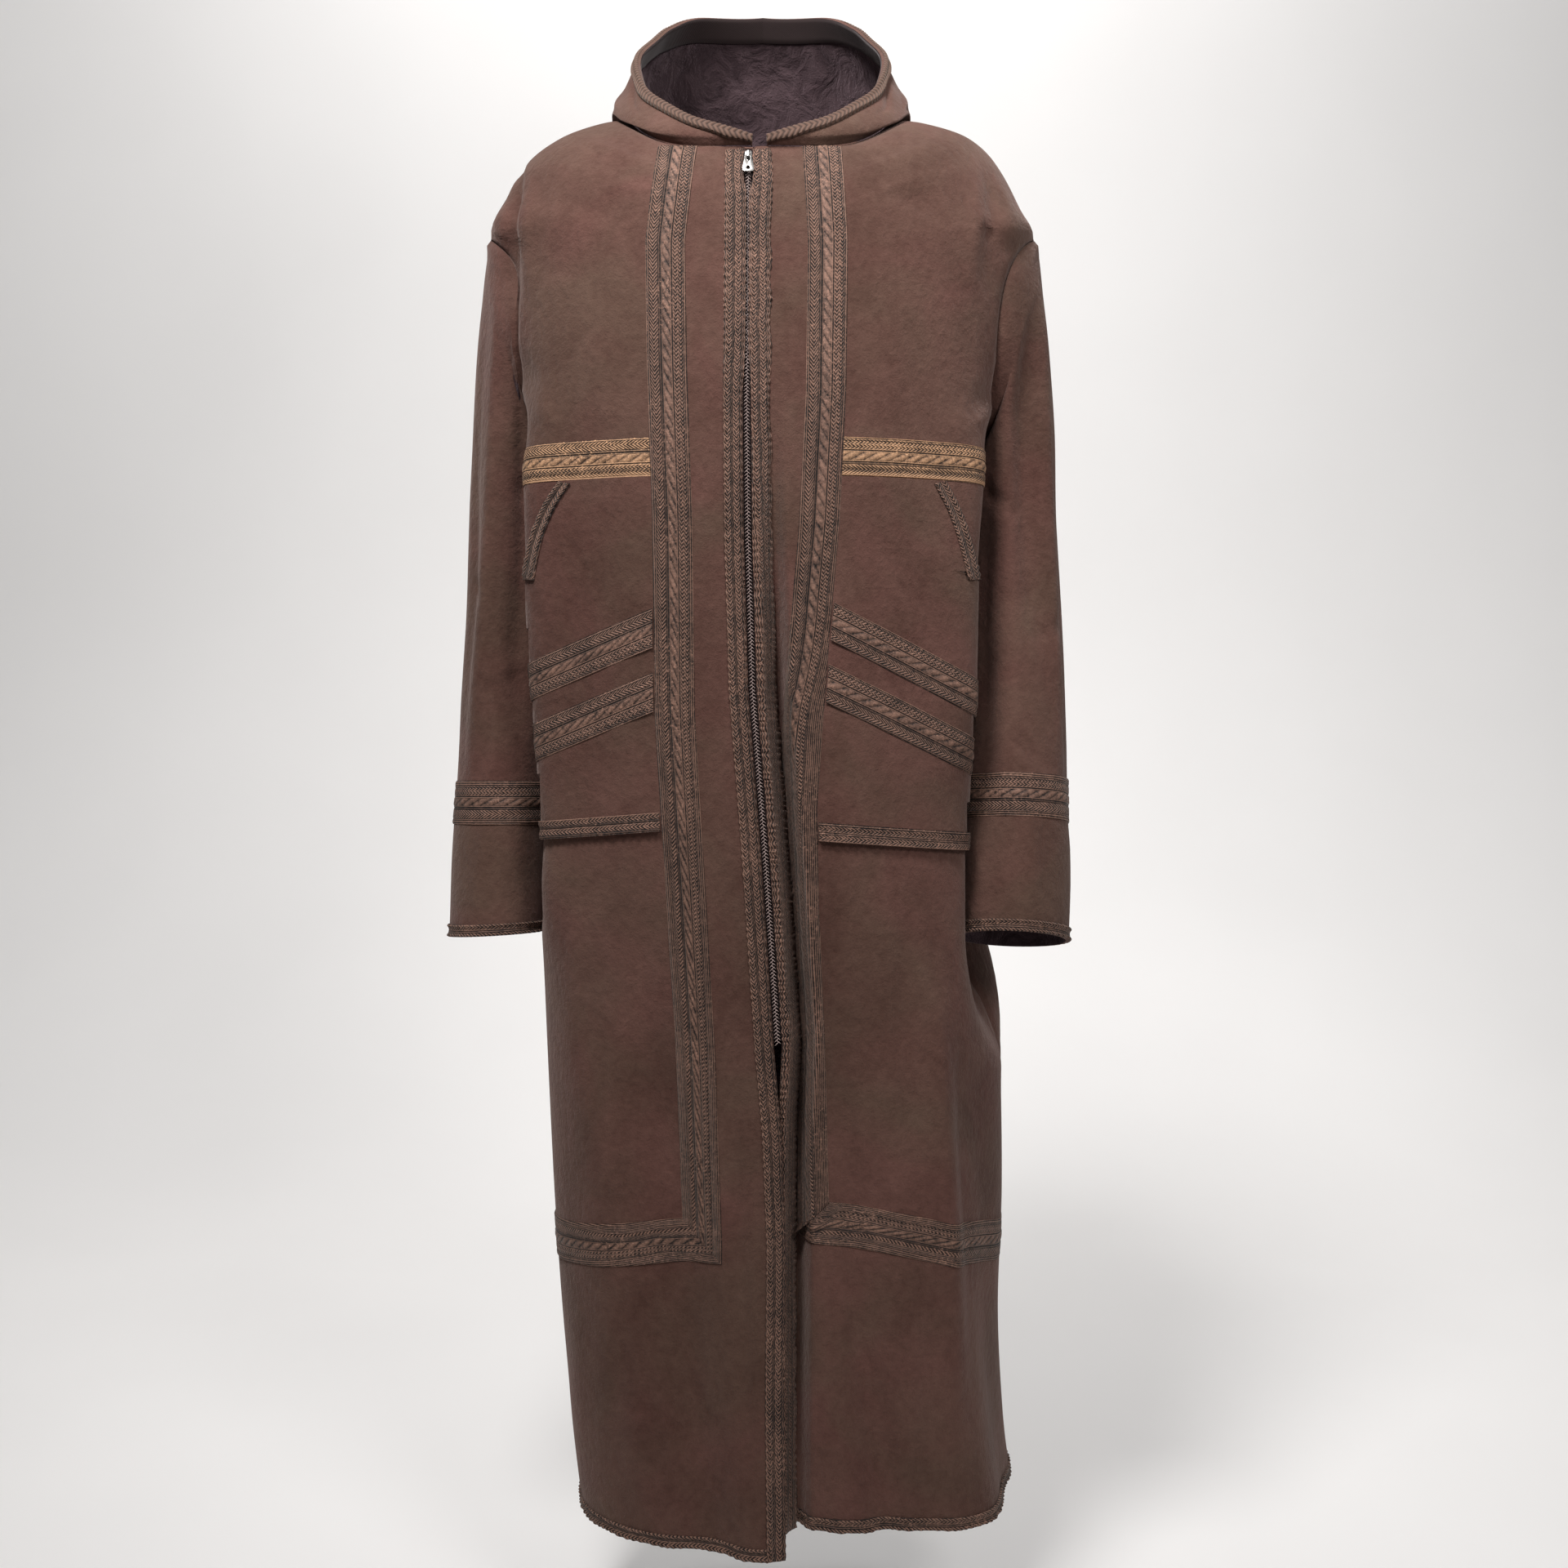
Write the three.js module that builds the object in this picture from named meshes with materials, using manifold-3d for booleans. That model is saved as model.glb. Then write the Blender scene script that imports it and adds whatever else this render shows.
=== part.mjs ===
// A hooded, zip-front abaya of suede-faced fleece, trimmed with woven braid, as it hangs when worn.
// Millimetres, +Z up. The wearer faces -Y and the wearer's left hand is on the +X side.
// The origin is the centre of the neck base, level with the tops of the shoulders.

import * as THREE from "three";
import Module from "manifold-3d";

const wasm = await Module();
wasm.setup();

// Cloth, braid and seams
const CLOTH = 3; // suede face bonded to a plush back
const PATCH = 2; // pocket cloth, pressed flat
const BRAID = 1.2;
const SEAM_GAP = 0.3; // between pieces that are sewn together
const WIDE_BRAID = 36;
const NARROW_BRAID = 17;
const HOOD_BRAID = 12;
const HOOD_FACING = 24;

// Closed rings round the body, from the neck seam to the hem.
// side, front, back: height of the ring there; half: half its width; fore, aft: its depth to the front and
// back; shift: how far it hangs to the wearer's left; crown: how sharply it falls from the shoulder ridge;
// steps: rings of points from here to the next row.
const BODY = [
  { side: 3, front: -58, back: 16, half: 128, fore: 97, aft: 92, shift: 0, crown: 6, steps: 1 },
  { side: -2, front: -72, back: 2, half: 150, fore: 102, aft: 99, shift: 2, crown: 4, steps: 1 },
  { side: -12, front: -90, back: -20, half: 182, fore: 108, aft: 106, shift: 4, crown: 4, steps: 1 },
  { side: -24, front: -108, back: -44, half: 204, fore: 112, aft: 111, shift: 5, crown: 3, steps: 1 },
  { side: -40, front: -126, back: -68, half: 226, fore: 115, aft: 114, shift: 5, crown: 3, steps: 1 },
  { side: -62, front: -146, back: -92, half: 243, fore: 117, aft: 116, shift: 5, crown: 2, steps: 1 },
  { side: -90, front: -168, back: -118, half: 254, fore: 119, aft: 118, shift: 4, crown: 2, steps: 1 },
  { side: -112, front: -190, back: -146, half: 259, fore: 121, aft: 119, shift: 3, crown: 2, steps: 2 },
  { side: -140, front: -214, back: -174, half: 254, fore: 123, aft: 120, shift: 2, crown: 2, steps: 1 },
  { side: -180, front: -244, back: -210, half: 247, fore: 125, aft: 121, shift: 0, crown: 2, steps: 1 },
  { side: -235, front: -290, back: -262, half: 239, fore: 127, aft: 121, shift: -3, crown: 2, steps: 1 },
  { side: -300, front: -340, back: -318, half: 231, fore: 128, aft: 120, shift: -5, crown: 2, steps: 1 },
  { side: -370, front: -392, back: -380, half: 228, fore: 127, aft: 118, shift: -6, crown: 2, steps: 1 },
  { side: -450, front: -460, back: -455, half: 226, fore: 124, aft: 117, shift: -7, crown: 2, steps: 2 },
  { side: -580, front: -580, back: -580, half: 222, fore: 123, aft: 119, shift: -4, crown: 2, steps: 2 },
  { side: -700, front: -700, back: -700, half: 219, fore: 124, aft: 122, shift: 2, crown: 2, steps: 1 },
  { side: -800, front: -800, back: -800, half: 219, fore: 124, aft: 124, shift: 8, crown: 2, steps: 3 },
  { side: -920, front: -920, back: -920, half: 219, fore: 124, aft: 125, shift: 13, crown: 2, steps: 1 },
  { side: -1040, front: -1040, back: -1040, half: 217, fore: 125, aft: 126, shift: 17, crown: 2, steps: 2 },
  { side: -1160, front: -1160, back: -1160, half: 211, fore: 127, aft: 127, shift: 20, crown: 2, steps: 1 },
  { side: -1260, front: -1262, back: -1260, half: 208, fore: 129, aft: 128, shift: 28, crown: 2, steps: 1 },
  { side: -1328, front: -1338, back: -1330, half: 209, fore: 131, aft: 130, shift: 35, crown: 2, steps: 1 },
];
const BODY_SQUARENESS = 2.6; // 2 would be an ellipse

// Folds that run down the cloth. turn, foot: the fold's angle from the front at its top and bottom, +90 at
// the wearer's left side; push: how far it stands out, negative for a trough; spread: half its width in
// degrees; top, base: the heights between which it lives; fade: the length over which it comes and goes.
const FOLDS = [
  { turn: 96, foot: 92, push: -46, spread: 15, top: -300, base: -600, fade: 110 },
  { turn: 88, foot: 84, push: -50, spread: 12, top: -650, base: -790, fade: 130 },
  { turn: 264, foot: 268, push: -55, spread: 17, top: -280, base: -660, fade: 130 },
  { turn: 68, foot: 66, push: 13, spread: 8, top: -310, base: -560, fade: 120 },
  { turn: 292, foot: 292, push: 16, spread: 8, top: -310, base: -720, fade: 120 },
  { turn: 112, foot: 114, push: 13, spread: 12, top: -520, base: -1000, fade: 160 },
  { turn: 104, foot: 98, push: 13, spread: 9, top: -800, base: -850, fade: 100 },
  { turn: 52, foot: 58, push: 9, spread: 10, top: -860, base: -1330, fade: 160 },
  { turn: 68, foot: 78, push: -9, spread: 9, top: -900, base: -1330, fade: 160 },
  { turn: 28, foot: 34, push: -8, spread: 9, top: -760, base: -1340, fade: 200 },
  { turn: 318, foot: 326, push: -9, spread: 9, top: -840, base: -1340, fade: 220 },
  { turn: 302, foot: 306, push: 8, spread: 10, top: -900, base: -1180, fade: 200 },
  { turn: 340, foot: 345, push: 6, spread: 8, top: -900, base: -1340, fade: 200 },
  { turn: 140, foot: 132, push: -10, spread: 11, top: -330, base: -1330, fade: 260 },
  { turn: 160, foot: 157, push: 11, spread: 12, top: -420, base: -1330, fade: 300 },
  { turn: 181, foot: 184, push: -9, spread: 10, top: -280, base: -1330, fade: 240 },
  { turn: 204, foot: 210, push: 10, spread: 12, top: -460, base: -1330, fade: 280 },
  { turn: 226, foot: 236, push: -10, spread: 11, top: -360, base: -1330, fade: 260 },
  { turn: 246, foot: 250, push: 9, spread: 10, top: -520, base: -1330, fade: 240 },
];

// The front opening. right: where the wearer's right front ends, across; left: where the left front ends;
// tuck: depth of the pleat that the left front falls into beside the zip; behind: how far the left front's
// edge lies behind the right's.
const OPENING = [
  { height: -40, right: -10, left: -10, tuck: 0, behind: 0 },
  { height: -300, right: -11, left: -11, tuck: 0, behind: 0 },
  { height: -420, right: -10, left: -10, tuck: 9, behind: 0 },
  { height: -560, right: -6, left: -6, tuck: 19, behind: 0 },
  { height: -700, right: 5, left: 5, tuck: 25, behind: 0 },
  { height: -820, right: 13, left: 13, tuck: 27, behind: 0 },
  { height: -880, right: 17, left: 17, tuck: 27, behind: 0 },
  { height: -960, right: 24, left: 13, tuck: 24, behind: 8 },
  { height: -1060, right: 28, left: 12, tuck: 20, behind: 9 },
  { height: -1200, right: 27, left: 12, tuck: 14, behind: 9 },
  { height: -1340, right: 28, left: 12, tuck: 10, behind: 9 },
];
const ZIP_FOOT = -878; // the fronts hang free below it
const ZIP_GAP = 3.8; // from the zip's centre line to each front
const TUCK_FROM = 8; // from the zip's centre line to the pleat
const TUCK_WIDE = 29; // of the pleat, across
const LEFT_FRONT_RISE = { most: 24, reach: 230 }; // the pleat draws the left front's hem up
const HEM_LIFT = { most: 13, from: -900, over: 430 }; // the hem hangs higher at the wearer's left side

// The armhole: an ellipse over the body's rings and turns
const ARMHOLE = { ring: 9.15, ringHalf: 1.95, turnHalf: 16 };

// Rings down each sleeve, from the armhole to the cuff. out: from the middle of the garment to the ring's
// centre; ahead: centre's place front to back; height; half, deep: half its width and depth;
// tilt: degrees that its outer edge is raised; sag: how much lower its back hangs.
const SLEEVE = {
  right: [
    { out: 242, ahead: 4, height: -220, half: 90, deep: 62, tilt: 74, sag: 0, steps: 1 },
    { out: 241, ahead: 8, height: -250, half: 78, deep: 60, tilt: 65, sag: 0, steps: 1 },
    { out: 241, ahead: 14, height: -290, half: 63, deep: 58, tilt: 50, sag: 0, steps: 1 },
    { out: 242, ahead: 18, height: -340, half: 52, deep: 57, tilt: 34, sag: 0, steps: 1 },
    { out: 243, ahead: 20, height: -396, half: 48, deep: 57, tilt: 19, sag: 0, steps: 1 },
    { out: 246, ahead: 20, height: -472, half: 46, deep: 57, tilt: 6, sag: 0, steps: 1 },
    { out: 250, ahead: 17, height: -560, half: 46, deep: 56, tilt: 0, sag: 0, steps: 1 },
    { out: 253, ahead: 12, height: -640, half: 46, deep: 55, tilt: 0, sag: 0, steps: 2 },
    { out: 256, ahead: 5, height: -720, half: 46, deep: 54, tilt: 0, sag: 1, steps: 1 },
    { out: 258, ahead: 0, height: -789, half: 46, deep: 54, tilt: -3, sag: 2, steps: 1 },
  ],
  left: [
    { out: 247, ahead: 4, height: -220, half: 90, deep: 62, tilt: 74, sag: 0, steps: 1 },
    { out: 246, ahead: 8, height: -250, half: 78, deep: 60, tilt: 65, sag: 0, steps: 1 },
    { out: 245, ahead: 13, height: -290, half: 63, deep: 58, tilt: 50, sag: 0, steps: 1 },
    { out: 246, ahead: 16, height: -340, half: 53, deep: 57, tilt: 34, sag: 0, steps: 1 },
    { out: 247, ahead: 17, height: -396, half: 48, deep: 57, tilt: 19, sag: 0, steps: 1 },
    { out: 248, ahead: 14, height: -472, half: 49, deep: 56, tilt: 6, sag: 0, steps: 1 },
    { out: 249, ahead: 4, height: -560, half: 50, deep: 54, tilt: 0, sag: 0, steps: 1 },
    { out: 247, ahead: -10, height: -640, half: 52, deep: 52, tilt: -2, sag: 4, steps: 2 },
    { out: 244, ahead: -22, height: -720, half: 54, deep: 50, tilt: -3, sag: 8, steps: 1 },
    { out: 241, ahead: -28, height: -792, half: 55, deep: 49, tilt: -3, sag: 12, steps: 1 },
  ],
};
const SLEEVE_COLLAR = 6; // the cloth stands straight off the body before it turns down

// Sections of the lowered hood, from its rim down to the neck seam, each a spline. turn: degrees from the
// front; then the distance out from the neck's axis and the height of each point.
const HOOD = [
  { turn: 4, rim: [98, -49], flare: [99, -51], belly: [99, -53], low: [98, -55], tuck: [97, -56.5] },
  { turn: 20, rim: [101, -39], flare: [104, -43], belly: [106, -47], low: [106, -51], tuck: [104, -54.5] },
  { turn: 35, rim: [106, -28], flare: [111, -34], belly: [115, -41], low: [116, -47], tuck: [113, -51.5] },
  { turn: 50, rim: [110, -9], flare: [119, -20], belly: [127, -31], low: [129, -39], tuck: [125, -42] },
  { turn: 65, rim: [116, 14], flare: [128, -1], belly: [138, -13], low: [141, -20], tuck: [134, -21] },
  { turn: 80, rim: [119, 46], flare: [130, 26], belly: [141, 10], low: [145, 2], tuck: [138, 1] },
  { turn: 95, rim: [121, 76], flare: [134, 46], belly: [146, 20], low: [147, 6], tuck: [139, 7] },
  { turn: 115, rim: [121, 110], flare: [140, 72], belly: [157, 28], low: [156, 4], tuck: [138, 10] },
  { turn: 130, rim: [124, 137], flare: [154, 90], belly: [174, 20], low: [167, -34], tuck: [136, 4] },
  { turn: 150, rim: [130, 163], flare: [166, 104], belly: [187, 8], low: [170, -100], tuck: [128, -4] },
  { turn: 180, rim: [135, 174], flare: [172, 112], belly: [196, 6], low: [172, -138], tuck: [122, -6] },
];
const HOOD_SEAT = 1; // the hood's foot lies this far above the neck's edge
const HOOD_COLUMNS = 12;
const HOOD_ROWS = 9; // below its braid and facing

// Braids on each front. Heights and places across are as seen from the front.
const LONG_BAND = {
  right: [
    { across: -75, height: -53 },
    { across: -85, height: -152 },
    { across: -83, height: -265 },
    { across: -78, height: -400 },
    { across: -76, height: -577 },
    { across: -70, height: -680 },
    { across: -57, height: -893 },
    { across: -51, height: -1052 },
  ],
  left: [
    { across: 57, height: -53 },
    { across: 62, height: -152 },
    { across: 60, height: -290 },
    { across: 54, height: -410 },
    { across: 46, height: -500 },
    { across: 40, height: -580 },
    { across: 34, height: -665 },
    { across: 36, height: -760 },
    { across: 42, height: -900 },
    { across: 46, height: -1052 },
  ],
};
const CHEST_BAND = { top: -331, tall: 35 };
const POCKET = {
  right: {
    inner: -94,
    outer: -226,
    mouth: [
      { across: -183, height: -366 },
      { across: -198, height: -388 },
      { across: -210, height: -417 },
      { across: -217, height: -452 },
    ],
    slants: [
      { from: [-94, -502], to: [-222, -553] },
      { from: [-94, -560], to: [-222, -611] },
    ],
    hem: { from: [-88, -677], to: [-216, -687] },
  },
  left: {
    inner: 56,
    outer: 222,
    mouth: [
      { across: 170, height: -366 },
      { across: 184, height: -392 },
      { across: 194, height: -420 },
      { across: 202, height: -452 },
    ],
    slants: [
      { from: [58, -493], to: [214, -571] },
      { from: [58, -551], to: [214, -626] },
    ],
    hem: { from: [40, -685], to: [214, -698] },
  },
};
const LOWER_BAND = { rightFront: -1034, leftFront: -1018, side: -1060, tall: 39 };
const SLEEVE_BAND = { right: [7, 7.52], left: [6.95, 7.48] }; // places in the sleeve's table
const CUFF_BRAID = 0.24; // of the last stretch of sleeve
const HEM_BRAID = 0.23; // of the last stretch of the body

// The zip. The slider's and pull's places are from the slider's middle, up along the zip and out from it.
const TAPE = { wide: 11, thick: 0.9, under: 0.5 };
const COIL = { wide: 5, low: -3, high: -1 };
const SLIDER = { wide: 6.8, foot: 5.2, tall: 12, low: -0.8, high: 1.2, middle: -69 };
const SLIDER_BACK = { wide: 6, tall: 10, low: -6.2, high: -4.8, post: 2.4 };
const BRIDGE = { wide: 2.4, reach: 4.2, wall: 1.6, inside: 3.6, outside: 4.8 };
const PIVOT = { up: -1.4, out: 2.4, bar: 0.8 };
const PULL = { head: 7, foot: 10.6, thick: 1.6, tall: 18.4 };
const PULL_HOLES = { eyeWide: 3.4, eyeEnd: 6.6, slotWide: 3, slotTall: 4.4, slotFoot: 2 };

const COLOURS = {
  suede: 0x6a4f44,
  braid: 0x85705a,
  tape: 0x4c3b39,
  coil: 0x6e625f,
  facing: 0x3d332f,
  nickel: 0xa9a7a4,
};

// Values between rows of a table

function smooth(x) {
  const k = Math.min(Math.max(x, 0), 1);
  return k * k * (3 - 2 * k);
}

function spline(a, b, c, d, k) {
  const bend = 2 * a - 5 * b + 4 * c - d;
  const twist = 3 * b - a - 3 * c + d;
  return 0.5 * (2 * b + (c - a) * k + bend * k * k + twist * k ** 3);
}

function rowAt(table, place) {
  const last = table.length - 1;
  const i = Math.min(Math.floor(place), last - 1);
  const four = [Math.max(i - 1, 0), i, i + 1, Math.min(i + 2, last)].map((n) => table[n]);
  const row = {};
  for (const key of Object.keys(table[0])) {
    const value = (n) => four[n][key];
    row[key] = Array.isArray(value(0))
      ? value(0).map((_, n) => spline(value(0)[n], value(1)[n], value(2)[n], value(3)[n], place - i))
      : spline(value(0), value(1), value(2), value(3), place - i);
  }
  return row;
}

function lineAt(table, key, at, column) {
  const rising = table[1][key] > table[0][key] ? 1 : -1;
  const past = table.findIndex((row) => (row[key] - at) * rising > 0);
  const n = past < 0 ? table.length - 1 : Math.max(1, past);
  const [a, b] = [table[n - 1], table[n]];
  const k = Math.min(Math.max((at - a[key]) / (b[key] - a[key]), 0), 1);
  return a[column] + (b[column] - a[column]) * k;
}

function stations(table) {
  const places = [];
  table.slice(0, -1).forEach((row, i) => {
    for (let n = 0; n < row.steps; n++) places.push(i + n / row.steps);
  });
  return [...places, table.length - 1];
}

// The body's surface

const radians = (degrees) => (degrees * Math.PI) / 180;

function foldPush(turn, height) {
  let push = 0;
  for (const fold of FOLDS) {
    const down = (fold.top - height) / (fold.top - fold.base);
    const middle = fold.turn + (fold.foot - fold.turn) * Math.min(Math.max(down, 0), 1);
    const off = (((turn - middle + 540) % 360) - 180) / fold.spread;
    const begun = smooth((fold.top - height) / fold.fade + 0.5);
    const unended = smooth((height - fold.base) / fold.fade + 1);
    push += fold.push * Math.exp(-off * off) * begun * unended;
  }
  return push;
}

function bodyPoint(ring, turn, side) {
  const row = rowAt(BODY, ring);
  const [s, c] = [Math.sin(radians(turn)), Math.cos(radians(turn))];
  const depth = c > 0 ? row.fore : row.aft;
  const middle = c > 0 ? row.front : row.back;
  const n = BODY_SQUARENESS;
  const reach = (Math.abs(s / row.half) ** n + Math.abs(c / depth) ** n) ** (-1 / n);
  const level = middle + (row.side - middle) * Math.abs(s) ** row.crown;
  const lift = HEM_LIFT.most * Math.max(s, 0) ** 2 * smooth((HEM_LIFT.from - level) / HEM_LIFT.over);
  const height = level + lift;
  const out = reach + foldPush((turn + 360) % 360, height);
  const point = new THREE.Vector3(out * s + row.shift, -out * c, height);
  if (c > 0) shapeOpening(point, side);
  return point;
}

// The pleat beside the zip, the left front's rise, and its place behind the right front
function shapeOpening(point, side) {
  if (side !== "left") return;
  const edge = lineAt(OPENING, "height", point.z, "left");
  const from = point.x - edge - TUCK_FROM;
  const tuck = lineAt(OPENING, "height", point.z, "tuck");
  const behind = lineAt(OPENING, "height", point.z, "behind");
  const across = (2 * from) / TUCK_WIDE - 1;
  if (Math.abs(across) < 1) point.y += (tuck * (1 + Math.cos(Math.PI * across))) / 2;
  point.y += behind * (1 - smooth((from - 18) / 60));
  const { most, reach } = LEFT_FRONT_RISE;
  point.z += most * smooth((-point.z - 700) / 600) * (1 - smooth(from / reach));
}

// The turn at which a ring's front reaches a given place across
function turnAcross(ring, across) {
  const row = rowAt(BODY, ring);
  return THREE.MathUtils.radToDeg(Math.atan2(across, row.fore));
}

function armholeHalf(ring) {
  const k = (ring - ARMHOLE.ring) / ARMHOLE.ringHalf;
  return Math.abs(k) < 1 ? ARMHOLE.turnHalf * Math.sqrt(1 - k * k) : 0;
}

// Grids of points over the cloth. Rows run down and columns run from the front to the wearer's left, so
// that down x across points out of the garment.
// A column beyond each end, where given, makes pieces that meet at a seam share its direction.
function makeGrid(rows, columns, place, { wraps = false, beyond = [] } = {}) {
  const points = rows.map((row) => columns.map((column) => place(row, column)));
  const [last, width] = [rows.length - 1, columns.length];
  const neighbour = (line, row, j) => {
    if (wraps) return line[(j + width) % width];
    const outside = beyond[j < 0 ? 0 : 1];
    if (j >= 0 && j < width) return line[j];
    return outside === undefined ? line[j < 0 ? 0 : width - 1] : place(row, outside);
  };
  const normals = points.map((line, i) =>
    line.map((_, j) => {
      const above = points[Math.max(i - 1, 0)][j];
      const below = points[Math.min(i + 1, last)][j];
      const across = neighbour(line, rows[i], j + 1).clone().sub(neighbour(line, rows[i], j - 1));
      return below.clone().sub(above).cross(across).normalize();
    }),
  );
  return { points, normals, wraps };
}

function columnsOf(grid, from, to) {
  const cut = (lines) => lines.map((line) => line.slice(from, to));
  return { points: cut(grid.points), normals: cut(grid.normals), wraps: false };
}

function rowsOf(grid, from, to) {
  return { points: grid.points.slice(from, to), normals: grid.normals.slice(from, to), wraps: grid.wraps };
}

// A closed wall between two distances out from a grid
function wall(grid, low, high) {
  const rows = grid.points.length;
  const columns = grid.points[0].length;
  const position = [];
  for (const lift of [low, high])
    grid.points.forEach((line, i) =>
      line.forEach((point, j) => position.push(...point.clone().addScaledVector(grid.normals[i][j], lift))),
    );
  const index = [];
  const at = (layer, i, j) => layer * rows * columns + i * columns + (j % columns);
  const quad = (a, b, c, d) => index.push(a, b, c, c, b, d);
  const across = grid.wraps ? columns : columns - 1;
  for (let i = 0; i < rows - 1; i++)
    for (let j = 0; j < across; j++) {
      quad(at(1, i, j), at(1, i + 1, j), at(1, i, j + 1), at(1, i + 1, j + 1));
      quad(at(0, i, j), at(0, i, j + 1), at(0, i + 1, j), at(0, i + 1, j + 1));
    }
  for (let j = 0; j < across; j++) {
    quad(at(0, 0, j), at(1, 0, j), at(0, 0, j + 1), at(1, 0, j + 1));
    quad(at(0, rows - 1, j), at(0, rows - 1, j + 1), at(1, rows - 1, j), at(1, rows - 1, j + 1));
  }
  if (!grid.wraps)
    for (let i = 0; i < rows - 1; i++) {
      quad(at(0, i, 0), at(0, i + 1, 0), at(1, i, 0), at(1, i + 1, 0));
      const end = columns - 1;
      quad(at(0, i, end), at(1, i, end), at(0, i + 1, end), at(1, i + 1, end));
    }
  return shapeOf(position, index);
}

function shapeOf(position, index) {
  const shape = new THREE.BufferGeometry();
  shape.setAttribute("position", new THREE.Float32BufferAttribute(position, 3));
  shape.setIndex(index);
  return shape;
}

// Joining and cutting

function solidOf(shape) {
  const mesh = new wasm.Mesh({
    numProp: 3,
    vertProperties: new Float32Array(shape.attributes.position.array),
    triVerts: new Uint32Array(shape.index.array),
  });
  mesh.merge();
  return new wasm.Manifold(mesh);
}

function shapeFrom(solid) {
  const largest = solid.decompose().sort((a, b) => b.volume() - a.volume())[0];
  const mesh = largest.getMesh();
  return shapeOf([...mesh.vertProperties], [...mesh.triVerts]);
}

// A solid through the garment, front to back, of an outline seen from the front
function prism(outline, fromDepth, toDepth) {
  const shape = new THREE.Shape(outline.map(([x, z]) => new THREE.Vector2(x, z)));
  const block = new THREE.ExtrudeGeometry(shape, { depth: toDepth - fromDepth, bevelEnabled: false });
  block.rotateX(Math.PI / 2);
  block.translate(0, toDepth, 0);
  block.deleteAttribute("uv");
  block.deleteAttribute("normal");
  block.setIndex([...Array(block.attributes.position.count).keys()]);
  return solidOf(block);
}

const FRONT_ONLY = [-260, 10];
const THROUGH = [-260, 260];

// The outline of a strip of a given height between two ends
function strip({ from, to }, tall) {
  const half = tall / 2;
  return [
    [from[0], from[1] + half],
    [to[0], to[1] + half],
    [to[0], to[1] - half],
    [from[0], from[1] - half],
  ];
}

// A strip of a given width on each side of a line that runs down
function downStrip(line, wide) {
  const side = (offset) => line.map((row) => [row.across + offset, row.height]);
  return [...side(-wide / 2), ...side(wide / 2).reverse()];
}

// Grids of the cloth pieces

const FRONT_COLUMNS = { right: { count: 11, spread: 1.15 }, left: { count: 14, spread: 1.35 } };
const BACK_COLUMNS = 18;

// Rings of points down the body: the armhole's ends and the top of the hem braid have rings of their own
const armholeEnds = [-1, -0.93, 0.74, 0.93, 1].map((k) => ARMHOLE.ring + ARMHOLE.ringHalf * k);
const ringRows = [
  ...stations(BODY).filter((ring) => armholeEnds.every((end) => Math.abs(ring - end) > 0.12)),
  ...armholeEnds,
  BODY.length - 1 - HEM_BRAID,
].sort((a, b) => a - b);

function seamTurn(ring) {
  return THREE.MathUtils.radToDeg(SEAM_GAP / 2 / rowAt(BODY, ring).half);
}

// The first column is the zip's centre line and the second is the front's edge
const ZIP_LINE = -1;

function frontGrid(side) {
  const sign = side === "left" ? 1 : -1;
  const { count, spread } = FRONT_COLUMNS[side];
  const columns = [ZIP_LINE, ...[...Array(count + 1).keys()].map((n) => n / count)];
  const place = (ring, share) => {
    const row = rowAt(BODY, ring);
    const zip = lineAt(OPENING, "height", row.front, side) - row.shift;
    if (share === ZIP_LINE) return bodyPoint(ring, turnAcross(ring, zip), side);
    const from = turnAcross(ring, zip + sign * ZIP_GAP) * sign;
    const to = 90 - Math.max(armholeHalf(ring), seamTurn(ring));
    return bodyPoint(ring, (from + (to - from) * share ** spread) * sign, side);
  };
  const past = 1 + 1 / count;
  if (sign > 0) return makeGrid(ringRows, columns, place, { beyond: [undefined, past] });
  return makeGrid(ringRows, columns.reverse(), place, { beyond: [past, undefined] });
}

function backGrid() {
  const columns = [...Array(BACK_COLUMNS + 1).keys()].map((n) => (2 * n) / BACK_COLUMNS - 1);
  const place = (ring, share) => {
    return bodyPoint(ring, 180 + share * (90 - Math.max(armholeHalf(ring), seamTurn(ring))), "back");
  };
  const past = 1 + 2 / BACK_COLUMNS;
  return makeGrid(ringRows, columns, place, { beyond: [-past, past] });
}

function sleevePlaces(side) {
  const cuff = SLEEVE[side].length - 1 - CUFF_BRAID;
  const band = SLEEVE_BAND[side];
  const clear = (place) => band.every((end) => Math.abs(place - end) > 0.1 || place === end);
  const places = stations(SLEEVE[side]).filter(clear);
  return [...new Set([...places, ...band, cuff])].sort((a, b) => a - b);
}

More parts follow.
